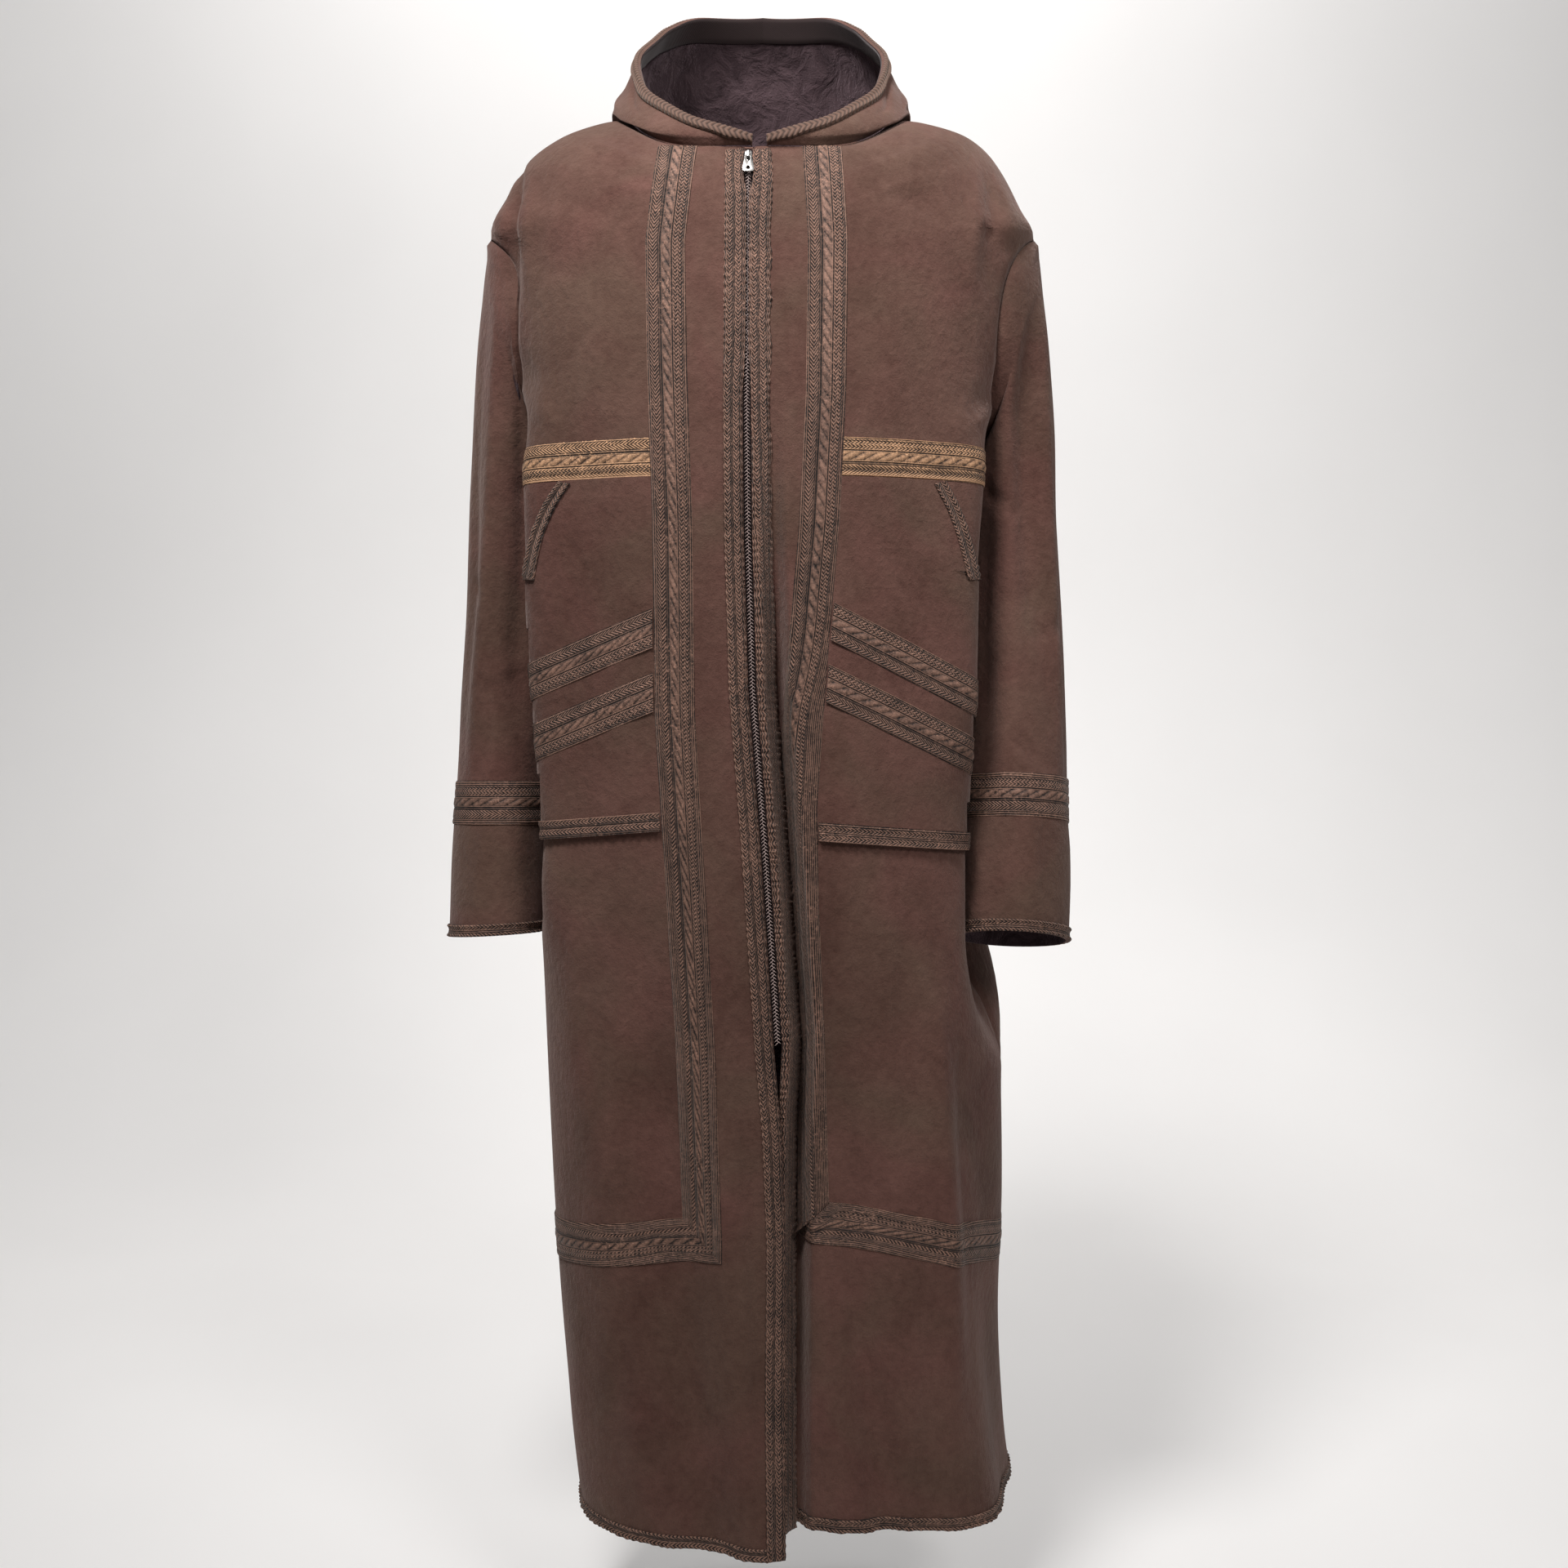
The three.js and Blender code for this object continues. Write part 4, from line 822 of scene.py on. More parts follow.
def wide_relief(along, across, half):
    body = BRAID * 0.7 * pillow(across, half)
    middle, reach = ROPE["middle"], ROPE["reach"]
    strand = np.abs(np.sin(np.pi * rope_phase(along, across))) ** 0.7
    rope = np.exp(-(((across - middle) / reach) ** 4)) * (0.65 * strand - 0.1)
    grooves = -0.45 * sum(np.exp(-(((across - at) / 0.9) ** 2)) for at in BRAID_GROOVES)
    pucker = 0.3 * np.sin(along / 11 + 2 * np.sin(along / 37)) * smooth(np.abs(across) / half - 0.2)
    return body + settings().braid_relief * (rope + grooves + pucker)


def narrow_relief(along, across, half):
    body = BRAID * 0.7 * pillow(across, half)
    near_edge = smooth(np.abs(across) / half * 1.6 - 0.5)
    uneven = 2.6 * np.sin(along / 13) + 1.3 * np.sin(along / 5.1)
    crinkle = np.sin(CRINKLE * along + uneven + np.sign(across)) * near_edge
    valley = -0.9 * np.exp(-((across / 1.3) ** 2))
    ribs = 0.3 * np.cos(2 * np.pi * across / 4.2)
    return body + settings().braid_relief * (0.75 * crinkle + 0.6 * near_edge + valley + ribs)


def flat_relief(along, across, half):
    return TAPE["thick"] * pillow(across, half)


def cord_relief(along, across, half):
    """Two plies twisted side by side, as the hood's rim has."""
    twist = np.abs(np.sin(np.pi * (along / 5.5 + np.abs(across) / 7)))
    split = -0.7 * np.exp(-((across / 1.2) ** 2))
    return 1.9 * BRAID * pillow(across, half) + 0.8 * twist + split


# Materials


def linear(red, green, blue):
    """A colour as seen on a screen, 0 to 255, as light."""
    return tuple((c / 255) ** 2.2 for c in (red, green, blue))


class Number:
    """A number in a material that arithmetic extends with Math nodes."""

    def __init__(self, tree, socket):
        self.tree = tree
        self.socket = socket

    def math(self, operation, *others):
        node = self.tree.nodes.new("ShaderNodeMath")
        node.operation = operation
        for slot, value in zip(node.inputs, (self, *others)):
            if isinstance(value, Number):
                self.tree.links.new(value.socket, slot)
            else:
                slot.default_value = value
        return Number(self.tree, node.outputs[0])

    def __add__(self, other):
        return self.math("ADD", other)

    def __sub__(self, other):
        return self.math("SUBTRACT", other)

    def __mul__(self, other):
        return self.math("MULTIPLY", other)

    def wave(self, length):
        """From 0 to 1 and back over a length."""
        return (self * (2 * math.pi / length)).math("SINE") * 0.5 + 0.5

    def within(self, low, high, soft):
        """1 between two values and 0 outside, with soft ends."""
        node = self.tree.nodes.new("ShaderNodeMapRange")
        node.interpolation_type = "SMOOTHSTEP"
        middle, half = (low + high) / 2, (high - low) / 2
        off = (self - middle).math("ABSOLUTE")
        self.tree.links.new(off.socket, node.inputs["Value"])
        node.inputs["From Min"].default_value = half - soft
        node.inputs["From Max"].default_value = half + soft
        node.inputs["To Min"].default_value = 1
        node.inputs["To Max"].default_value = 0
        return Number(self.tree, node.outputs["Result"])


class Finish:
    """A material in the making."""

    def __init__(self, name, roughness, sheen=0.0, sheen_colour=(1, 1, 1), metallic=0.0, specular=0.3):
        self.material = bpy.data.materials.new(name)
        self.material.use_nodes = True
        self.tree = self.material.node_tree
        self.shader = self.tree.nodes["Principled BSDF"]
        self.set("Roughness", roughness)
        self.set("Metallic", metallic)
        self.set("Specular IOR Level", specular)
        self.set("Sheen Weight", sheen)
        self.set("Sheen Roughness", 0.45)
        self.set("Sheen Tint", (*sheen_colour, 1))
        self.place = self.tree.nodes.new("ShaderNodeTexCoord").outputs["Object"]

    def set(self, name, value):
        self.shader.inputs[name].default_value = value

    def noise(self, size, detail=3.0, rough=0.55, stretch=(1, 1, 1), distortion=0.0):
        """Cloudy noise whose patches are about a size in metres."""
        mapping = self.tree.nodes.new("ShaderNodeMapping")
        mapping.inputs["Scale"].default_value = [1 / (size * s) for s in stretch]
        self.tree.links.new(self.place, mapping.inputs["Vector"])
        node = self.tree.nodes.new("ShaderNodeTexNoise")
        node.inputs["Scale"].default_value = 1
        node.inputs["Detail"].default_value = detail
        node.inputs["Roughness"].default_value = rough
        node.inputs["Distortion"].default_value = distortion
        self.tree.links.new(mapping.outputs[0], node.inputs["Vector"])
        return Number(self.tree, node.outputs["Fac"])

    def spread(self, number, low, high):
        """Stretches a narrow range of noise to 0 to 1."""
        node = self.tree.nodes.new("ShaderNodeMapRange")
        self.tree.links.new(number.socket, node.inputs["Value"])
        node.inputs["From Min"].default_value = low
        node.inputs["From Max"].default_value = high
        return Number(self.tree, node.outputs["Result"])

    def mix(self, amount, first, second):
        node = self.tree.nodes.new("ShaderNodeMix")
        node.data_type = "RGBA"
        self.tree.links.new(amount.socket, node.inputs[0])
        for slot, colour in ((node.inputs[6], first), (node.inputs[7], second)):
            if isinstance(colour, bpy.types.NodeSocket):
                self.tree.links.new(colour, slot)
            else:
                slot.default_value = (*colour, 1)
        return node.outputs[2]

    def colour(self, socket):
        self.tree.links.new(socket, self.shader.inputs["Base Color"])

    def bump(self, height, depth, strength):
        """Bumps of a depth in metres, over those made before."""
        node = self.tree.nodes.new("ShaderNodeBump")
        node.inputs["Distance"].default_value = depth
        node.inputs["Strength"].default_value = strength
        self.tree.links.new(height.socket, node.inputs["Height"])
        before = self.shader.inputs["Normal"]
        if before.is_linked:
            self.tree.links.new(before.links[0].from_socket, node.inputs["Normal"])
        self.tree.links.new(node.outputs[0], before)

    def height(self):
        """Millimetres above the neck base."""
        split = self.tree.nodes.new("ShaderNodeSeparateXYZ")
        self.tree.links.new(self.place, split.inputs[0])
        return Number(self.tree, split.outputs[2]) * 1000

    def along_and_across(self):
        """Millimetres along and across a strip, from its UV map."""
        node = self.tree.nodes.new("ShaderNodeUVMap")
        node.uv_map = "Cloth"
        split = self.tree.nodes.new("ShaderNodeSeparateXYZ")
        self.tree.links.new(node.outputs[0], split.inputs[0])
        return [Number(self.tree, split.outputs[n]) * 1000 for n in (0, 1)]


def suede():
    """Suede face: a mottled nap, brushed lighter and darker in soft clouds."""
    s = settings()
    finish = Finish("suede", 0.95, sheen=0.3, sheen_colour=tuple(s.suede_sheen), specular=0.1)
    cloud = finish.spread(finish.noise(0.2, 3, 0.5, stretch=(0.8, 0.8, 1.2), distortion=0.5), 0.34, 0.66)
    warm = finish.spread(finish.noise(0.12, 3, 0.5, distortion=0.8), 0.36, 0.64)
    brushed = finish.spread(finish.noise(0.035, 4, 0.55, stretch=(1, 1, 1.3), distortion=0.6), 0.3, 0.7)
    nap = finish.spread(finish.noise(0.007, 5, 0.65, stretch=(1, 1, 1.2)), 0.25, 0.75)
    grain = finish.noise(0.0015, 3, 0.75)
    tone = finish.mix(warm, tuple(s.suede_olive), tuple(s.suede_red))
    shade = cloud * 0.28 + brushed * 0.2 + nap * 0.27 + grain * 0.35
    finish.colour(finish.mix(shade, tuple(s.suede_dark), tone))
    finish.bump(brushed, 0.0011, 0.5)
    finish.bump(nap, 0.0013, 0.7)
    finish.bump(grain, 0.0006, 0.8)
    return finish.material


def plush():
    """Plush back: short pile that clumps in soft locks."""
    s = settings()
    finish = Finish("plush", 1.0, sheen=0.7, sheen_colour=tuple(s.plush_sheen), specular=0.04)
    locks = finish.spread(finish.noise(0.026, 4, 0.6, distortion=0.7), 0.3, 0.7)
    fibre = finish.noise(0.0016, 3, 0.75)
    finish.colour(finish.mix(locks * 0.6 + fibre * 0.4, tuple(s.plush_dark), tuple(s.plush_light)))
    finish.bump(locks, 0.004, 0.8)
    finish.bump(fibre, 0.0014, 0.9)
    return finish.material


def twill(along, across, middle, pitch):
    """Rows of slanting threads that meet in a point, as in a herringbone."""
    off = (across - middle).math("ABSOLUTE")
    return (along + off * 1.5).wave(pitch)


def braid(name, dark, light, rows, grooves, rope=False, hung=None):
    """Woven braid: herringbone rows between fine ridges, and in a wide one a twisted cord down its middle.
    Its grooves and the gaps of its cord are darkened with painted shade, and specks of it are lightened as
    painted glints.
    """
    finish = Finish(name, 0.7, sheen=0.12, sheen_colour=(0.85, 0.75, 0.68), specular=0.3)
    along, across = finish.along_and_across()
    height = across.wave(2.1)
    for low, high in rows:
        height = lay_over(height, twill(along, across, (low + high) / 2, 3.6), across.within(low, high, 0.4))
    thread = finish.spread(finish.noise(0.0022, 3, 0.75), 0.3, 0.7)
    fleck = finish.spread(finish.noise(0.006, 3, 0.7), 0.35, 0.65)
    wear = finish.spread(finish.noise(0.035, 3, 0.6), 0.32, 0.68)
    if rope:
        reach = ROPE["reach"]
        inside = across.within(ROPE["middle"] - reach, ROPE["middle"] + reach, 0.5)
        strand = ((along - across * ROPE["lean"]) * (math.pi / ROPE["pitch"])).math("SINE").math("ABSOLUTE")
        height = lay_over(height, strand.math("POWER", 0.5) * 0.52 + 0.12, inside)
    shade = finish.spread(height * 0.45 + thread * 0.24 + fleck * 0.2 + wear * 0.11, 0.3, 0.7)
    colour = finish.mix(shade, dark, light)
    # Painted shade: the braid's sunken grooves are darkened in the colour.
    for at in grooves:
        painted_groove_shade = across.within(at - 0.45, at + 0.45, 0.4) * 0.85
        colour = finish.mix(painted_groove_shade, colour, tuple(c * 0.45 for c in dark))
    if rope:
        # Painted shade in the gaps between the cord's strands, stronger further below the neck.
        painted_gap_shade = (strand * -1 + 1).math("POWER", 1.8) * inside
        strength = finish.spread(finish.height() * -1, *GAP_SHADE_DEPTHS) * 0.6 + 0.25
        colour = finish.mix(painted_gap_shade * strength, colour, tuple(c * 0.35 for c in dark))
    # Painted glints: specks of thread lightened in the colour as highlights.
    painted_glint = finish.spread(thread, 0.65, 0.95) * finish.spread(finish.noise(0.05, 2), 0.45, 0.6)
    colour = finish.mix(painted_glint * 0.7, colour, tuple(min(1.8 * c, 1) for c in light))
    if hung:
        foot = finish.height() + (hung["tall"] - hung["top"])
        twill_row = (along + foot).wave(4.2) * 0.6 + 0.4
        dark_row = foot.within(4.6, 8.6, 1.2) * twill_row * 0.75
        colour = finish.mix(dark_row, colour, tuple(0.8 * c for c in dark))
        light_edge = foot.within(0.4, 3.6, 0.6) * 0.5
        colour = finish.mix(light_edge, colour, tuple(min(1.3 * c, 1) for c in light))
    finish.colour(colour)
    finish.bump(thread, 0.0004, 0.6)
    finish.bump(height, 0.0009, 1.0)
    return finish.material


def lay_over(below, above, amount):
    return below + (above - below) * amount


def cord(name, dark, light):
    """The twisted plies of the hood's rim."""
    finish = Finish(name, 0.75, sheen=0.2, sheen_colour=(0.85, 0.78, 0.68), specular=0.25)
    along, across = finish.along_and_across()
    ply = ((along + across.math("ABSOLUTE") * 0.8) * (math.pi / 5.5)).math("SINE").math("ABSOLUTE")
    thread = finish.noise(0.0014, 3, 0.75)
    finish.colour(finish.mix(ply * 0.6 + thread * 0.4, dark, light))
    finish.bump(thread, 0.0003, 0.6)
    finish.bump(ply, 0.0008, 0.8)
    return finish.material


def woven(name, dark, light, pitch, roughness):
    """Plain tape or facing with a fine twill."""
    finish = Finish(name, roughness, sheen=0.2, sheen_colour=(0.8, 0.75, 0.75), specular=0.2)
    along, across = finish.along_and_across()
    twill = (along + across).wave(pitch)
    thread = finish.noise(0.0012, 3, 0.7)
    finish.colour(finish.mix(twill * 0.5 + thread * 0.5, dark, light))
    finish.bump(twill, 0.0003, 0.6)
    return finish.material


def tooth_nylon():
    finish = Finish("zip_teeth", 0.38, specular=0.5)
    wear = finish.spread(finish.noise(0.004, 2), 0.3, 0.7)
    s = settings()
    finish.colour(finish.mix(wear, tuple(c * 0.7 for c in s.zip_teeth), tuple(s.zip_teeth)))
    return finish.material


def nickel():
    finish = Finish("zip_metal", 0.36, metallic=1.0, specular=0.5)
    wear = finish.spread(finish.noise(0.003, 4, 0.7), 0.3, 0.7)
    s = settings()
    finish.colour(finish.mix(wear, tuple(c * 0.8 for c in s.zip_metal), tuple(s.zip_metal)))
    finish.bump(finish.noise(0.0008, 2), 0.00005, 0.4)
    return finish.material


MADE = {}


def material(name):
    """Each material is made once, and is shared by the pieces that have it."""
    if name not in MADE:
        s = settings()
        dark, light = tuple(s.braid_dark), tuple(s.braid_light)
        tan_dark, tan_light = tuple(s.chest_dark), tuple(s.chest_light)
        makers = {
            "suede": suede,
            "plush": plush,
            "wide_braid": lambda: braid("wide_braid", dark, light, WIDE_ROWS, BRAID_GROOVES, rope=True),
            "chest_braid": lambda: braid(
                "chest_braid", tan_dark, tan_light, WIDE_ROWS, BRAID_GROOVES, rope=True, hung=CHEST_BAND
            ),
            "narrow_braid": lambda: braid("narrow_braid", dark, light, NARROW_ROWS, NARROW_GROOVES),
            "hood_braid": lambda: cord("hood_braid", dark, tuple(0.6 * c for c in light)),
            "facing": lambda: woven("facing", linear(38, 30, 30), linear(64, 52, 51), 2.0, 0.9),
            "zip_tape": lambda: woven("zip_tape", linear(22, 16, 16), linear(44, 32, 32), 1.8, 0.85),
            "zip_teeth": tooth_nylon,
            "zip_metal": nickel,
        }
        MADE[name] = makers[name]()
    return MADE[name]


# Settings that a user would change


def colour_property(name, description, default):
    return bpy.props.FloatVectorProperty(
        name=name, description=description, subtype="COLOR", size=3, min=0, max=1, default=default
    )


class AbayaSettings(bpy.types.PropertyGroup):
    """Sizes and colours of the abaya."""

    crease_depth: bpy.props.FloatProperty(
        name="Crease depth",
        description="How strongly the creases stand out, 1 as worn",
        subtype="FACTOR",
        default=1.0,
        min=0.0,
        max=2.0,
    )
    braid_relief: bpy.props.FloatProperty(
        name="Braid relief",
        description="How far the woven rows of the braid stand out, 1 as woven",
        subtype="FACTOR",
        default=1.0,
        min=0.0,
        max=2.0,
    )
    suede_dark: colour_property("Suede, dark", "The nap brushed away from the light", linear(57, 36, 31))
    suede_olive: colour_property("Suede, olive", "The greener patches of the nap", linear(97, 77, 67))
    suede_red: colour_property("Suede, red", "The redder patches of the nap", linear(105, 76, 69))
    suede_sheen: colour_property("Suede sheen", "Light that the nap's tips catch", linear(205, 186, 179))
    plush_dark: colour_property("Plush, dark", "Between the locks of the pile", linear(36, 28, 30))
    plush_light: colour_property("Plush, light", "The tips of the pile", linear(84, 69, 72))
    plush_sheen: colour_property("Plush sheen", "Light that the pile catches", linear(160, 140, 146))
    braid_dark: colour_property("Braid, dark", "Between the threads of the braid", linear(24, 15, 12))
    braid_light: colour_property("Braid, light", "The threads of the braid", linear(127, 96, 82))
    chest_dark: colour_property(
        "Chest braid, dark", "Between the threads across the chest", linear(44, 29, 20)
    )
    chest_light: colour_property(
        "Chest braid, light", "The threads across the chest", linear(176, 135, 103)
    )
    zip_teeth: colour_property("Zip teeth", "The zip's teeth", linear(178, 156, 150))
    zip_metal: colour_property("Zip metal", "The slider and the pull", linear(126, 123, 120))


def settings():
    return bpy.context.scene.abaya


# Cloth pieces


def spaced_rings():
    """Places down the body about a step apart."""
    fine = np.linspace(0, BODY.last, 2000)
    row = BODY.at(fine)
    path = np.stack([row["side"] + row["front"], row["half"]], -1) * (0.5, 1)
    run = run_lengths(path, 0)
    places = np.interp(np.arange(0, run[-1], STEP), run, fine)
    half = np.arange(SLEEVE_COLUMNS // 2 + 1) * 2 * np.pi / SLEEVE_COLUMNS
    armhole = ARMHOLE["ring"] - ARMHOLE["ring_half"] * np.cos(half)
    outside = places[(places < armhole[0] - 0.03) | (places > armhole[-1] + 0.03)]
    return np.sort(np.concatenate([outside, armhole, [BODY.last]]))


def armhole_half(ring):
    k = (ring - ARMHOLE["ring"]) / ARMHOLE["ring_half"]
    return np.where(np.abs(k) < 1, ARMHOLE["turn_half"] * np.sqrt(np.clip(1 - k * k, 0, 1)), 0)


def side_edge(ring):
    """The turn, from the front or back, at which a panel ends: its side seam or the armhole."""
    return 90 - armhole_half(ring)


def seam_dip(points, from_edges):
    """The cloth draws in where it is sewn. from_edges has -1 for the last column and 0 for the first."""
    dip = np.zeros(points.shape[:2])
    run = run_lengths(points, 1)
    for edge in from_edges:
        off = run if edge == 0 else run[:, -1:] - run
        dip = dip - SEAM["dip"] * np.exp(-((off / SEAM["dip_wide"]) ** 2))
        dip = dip + SEAM["swell"] * np.exp(-(((off - SEAM["swell_at"]) / SEAM["swell_wide"]) ** 2))
    return dip


def front_cloth(side):
    sign = SIDES[side]
    rings = spaced_rings()[:, None]
    row = BODY.at(rings)
    zip_line = OPENING.line("height", row["front"], side) - row["shift"] + sign * ZIP_GAP
    start = np.degrees(np.arctan2(zip_line, row["fore"])) * sign
    share = np.linspace(0, 1, 85)[None, :] ** 1.2
    turn = lerp(start, side_edge(rings), share) * sign
    points, normals = body_cloth(rings, turn, side)
    dip = seam_dip(points, [-1])
    edge_roll = -1.2 * np.exp(-((run_lengths(points, 1) / 3.0) ** 2))
    plush_lump = ripple(points, 14, 21) * 0.4
    return wall(f"front_{side}_cloth", points, normals, -CLOTH + plush_lump, dip + edge_roll), points


def back_cloth():
    rings = spaced_rings()[:, None]
    turn = 180 + np.linspace(-1, 1, 121)[None, :] * side_edge(rings)
    points, normals = body_cloth(rings, turn, "back")
    dip = seam_dip(points, [0, -1])
    lump = ripple(points, 14, 22) * 0.4
    return wall("back_cloth", points, normals, -CLOTH + lump, dip), points


def sleeve_rows(side):
    fine = np.linspace(0, SLEEVE[side].last + 2, 800)
    run = run_lengths(sleeve_point(side, fine, np.zeros(800)), 0)
    return np.interp(np.linspace(0, run[-1], int(run[-1] / STEP)), run, fine)


def sleeve_piece(side):
    rows = sleeve_rows(side)[:, None]
    angle = np.linspace(0, 2 * np.pi, SLEEVE_COLUMNS, endpoint=False)[None, :]
    points, normals = sleeve_cloth(side, rows, angle)
    run = run_lengths(points, 0)
    roll = -0.4 * np.exp(-((run / 5.0) ** 2)) + 0.8 * np.exp(-(((run - 12) / 5) ** 2))
    lump = ripple(points, 12, 23) * 0.5
    return wall(f"sleeve_{side}_cloth", points, normals, -CLOTH + lump, roll, wraps=True), points


def hood_piece(side):
    sign = SIDES[side]
    place = np.linspace(0, HOOD.last, 90)
    share = (np.linspace(0, 1, 64) ** 1.1)[:, None]
    points, normals = hood_cloth(place[None, :], share, sign)
    points[:, -1, 0] = 0
    normals[:, -1, 0] = 0
    normals /= np.linalg.norm(normals, axis=-1, keepdims=True)
    lump = 0.9 * ripple(points, 16, 24) * smooth((share - 0.06) * 12)
    dip = seam_dip(points, [-1])
    return wall(f"hood_{side}_cloth", points, normals, -CLOTH + lump, dip), points


# Pockets


def long_band_edge(side, height):
    return LONG_BAND[side].line("height", height, "across") + SIDES[side] * (WIDE_BRAID / 2 + SEAM_GAP)


def pocket_edges(side, height):
    """Where a pocket starts beside the long band and where it ends, across, at each height."""
    sign = SIDES[side]
    pocket = POCKET[side]
    top, foot = CHEST_BAND["top"] - CHEST_BAND["tall"], pocket["hem"][0][1]
    inner = lerp(*pocket["inner"], np.clip((top - height) / (top - foot), 0, 1))
    inner = sign * np.maximum(sign * inner, sign * long_band_edge(side, height))
    mouth = pocket["mouth"].line("height", height, "across")
    outer = np.where(height < pocket["mouth"].rows[-1, 1], pocket["outer"], mouth)
    return inner, outer


def pocket_turns(side, height, share):
    inner, outer = pocket_edges(side, height)
    turn = MAPS[side].turn_at(lerp(inner, outer, share), height)
    return MAPS[side].kept_ahead(turn, height, POCKET_DEPTH)


def slant_height(ends, across):
    (x0, z0), (x1, z1) = ends
    return lerp(z0, z1, (across - x0) / (x1 - x0))


def pocket_piece(side):
    pocket = POCKET[side]
    share = np.linspace(0, 1, 44)[None, :]
    down = np.linspace(0, 1, 76)[:, None]
    top = CHEST_BAND["top"] - CHEST_BAND["tall"] - SEAM_GAP
    foot = slant_height(pocket["hem"], lerp(pocket["inner"][1], pocket["outer"], share)) - NARROW_BRAID / 2
    height = lerp(top, foot, down)
    points, normals = MAPS[side].cloth(pocket_turns(side, height, share), height)
    edge = np.minimum(run_lengths(points, 1), run_lengths(points, 1)[:, -1:] - run_lengths(points, 1))
    rise = SEAM_GAP + PATCH * (0.35 + 0.65 * smooth(edge / 3)) + 0.9 * smooth(edge / 30)
    return wall(f"pocket_{side}_cloth", points, normals, 0.1, rise), points


# Braids


def zip_edge(side, height):
    return OPENING.line("height", height, side) + SIDES[side] * ZIP_GAP


def front_braid(side):
    sign = SIDES[side]
    height = np.arange(-62, -1338, -BRAID_STEP)[:, None]
    wander = np.sin(height / 9 + 2 * np.sin(height / 31)) * (side == "left")
    scallop = 0.55 * np.sin(CRINKLE * height + 1.5 * np.sin(height / 17))
    share = np.linspace(0, 1, 15)[None, :]
    below_pull = smooth((ZIP_COVER["from"] - height) / 16)
    above_end = smooth((height - ZIP_COVER["to"]) / 60)
    inner = SEAM_GAP - ZIP_COVER["most"] * below_pull * above_end + 0.7 * scallop
    outer = SEAM_GAP + NARROW_BRAID + wander + scallop
    across = zip_edge(side, height) + sign * lerp(inner, outer, share)
    points, normals = MAPS[side].seen(across, height + 0 * across)
    return trim(f"front_braid_{side}_strip", points, normals, 0.45, narrow_relief)


def long_band(side):
    sign = SIDES[side]
    share = np.linspace(0, 1, 25)[None, :]
    offset = (share - 0.5) * WIDE_BRAID
    middle_foot = LONG_BAND[side].rows[-1, 0]
    corner = lower_top(side, middle_foot + offset) - LOWER_BAND["tall"] * (0.5 - sign * (share - 0.5))
    top = -56.0
    down = np.linspace(0, 1, 500)[:, None]
    height = lerp(top, corner, down)
    across = LONG_BAND[side].line("height", height, "across") + offset
    if side == "right":
        across = np.minimum(across, zip_edge(side, height) - NARROW_BRAID - 0.6)
    else:
        across = np.maximum(across, zip_edge(side, height) + NARROW_BRAID + 0.6)
    points, normals = MAPS[side].seen(across, height)
    return trim(f"long_band_{side}_strip", points, normals, BRAID_LIFT, wide_relief)


def lower_top(side, across):
    k = np.minimum((across / LOWER_BAND["reach"]) ** 2, 1)
    return lerp(LOWER_BAND[side], LOWER_BAND["side"], k)


def lower_band(side):
    sign = SIDES[side]
    front = MAPS[side]
    down = np.linspace(0, 1, 27)[None, :]
    foot = LONG_BAND[side].rows[-1, 0]
    start = foot + sign * WIDE_BRAID * (0.5 - down)
    start_turn = front.turn_at(start, lower_top(side, start) - down * LOWER_BAND["tall"])
    along = np.linspace(0, 1, 150)[:, None]
    turn = lerp(start_turn, sign * 89.9, along)
    across = front.cloth(turn, LOWER_BAND[side] - 20)[0][..., 0]
    height = lower_top(side, across) - down * LOWER_BAND["tall"]
    points, normals = front.cloth(turn, height)
    return trim(f"lower_band_{side}_strip", points, normals, BRAID_LIFT, wide_relief)


def ring_of_height(turn, height):
    rings = np.linspace(10, BODY.last, 600)
    z = body_point(rings, 180.0, "back")[..., 2]
    return np.interp(-height, -z, rings) + 0 * turn


def lower_band_back():
    turn = np.linspace(90.1, 269.9, 300)[:, None]
    down = np.linspace(0, 1, 27)[None, :]
    height = LOWER_BAND["side"] - down * LOWER_BAND["tall"]
    points, normals = body_cloth(ring_of_height(turn, height), turn + 0 * height, "back")
    return trim("lower_band_back_strip", points, normals, BRAID_LIFT, wide_relief)


def chest_band(side):
    sign = SIDES[side]
    front = MAPS[side]
    down = np.linspace(0, 1, 24)[None, :]
    height = CHEST_BAND["top"] - down * CHEST_BAND["tall"]
    start = front.turn_at(long_band_edge(side, height), height)
    along = np.linspace(0, 1, 100)[:, None]
    turn = lerp(start, front.kept_ahead(sign * 90.0, height, CHEST_BAND_DEPTH), along)
    points, normals = front.cloth(turn, height + 0 * turn)
    return trim(f"chest_band_{side}_strip", points, normals, BRAID_LIFT, wide_relief)


def pocket_strip(side, name, ends, tall, relief, count):
    """A strip across a pocket, from the long band to the pocket's outer edge."""
    down = (np.linspace(0.5, -0.5, count) * tall)[None, :]
    share = np.linspace(0.004, 0.996, 90)[:, None]
    guess = slant_height(ends, lerp(ends[0][0], ends[1][0], share)) + down
    inner, outer = pocket_edges(side, guess)
    across = lerp(inner, outer, share)
    height = slant_height(ends, across) + down
    turn = MAPS[side].kept_ahead(MAPS[side].turn_at(across, height), height, POCKET_DEPTH - 1)
    points, normals = MAPS[side].cloth(turn, height)
    return trim(f"{name}_{side}_strip", points, normals, POCKET_BRAID_LIFT, relief)


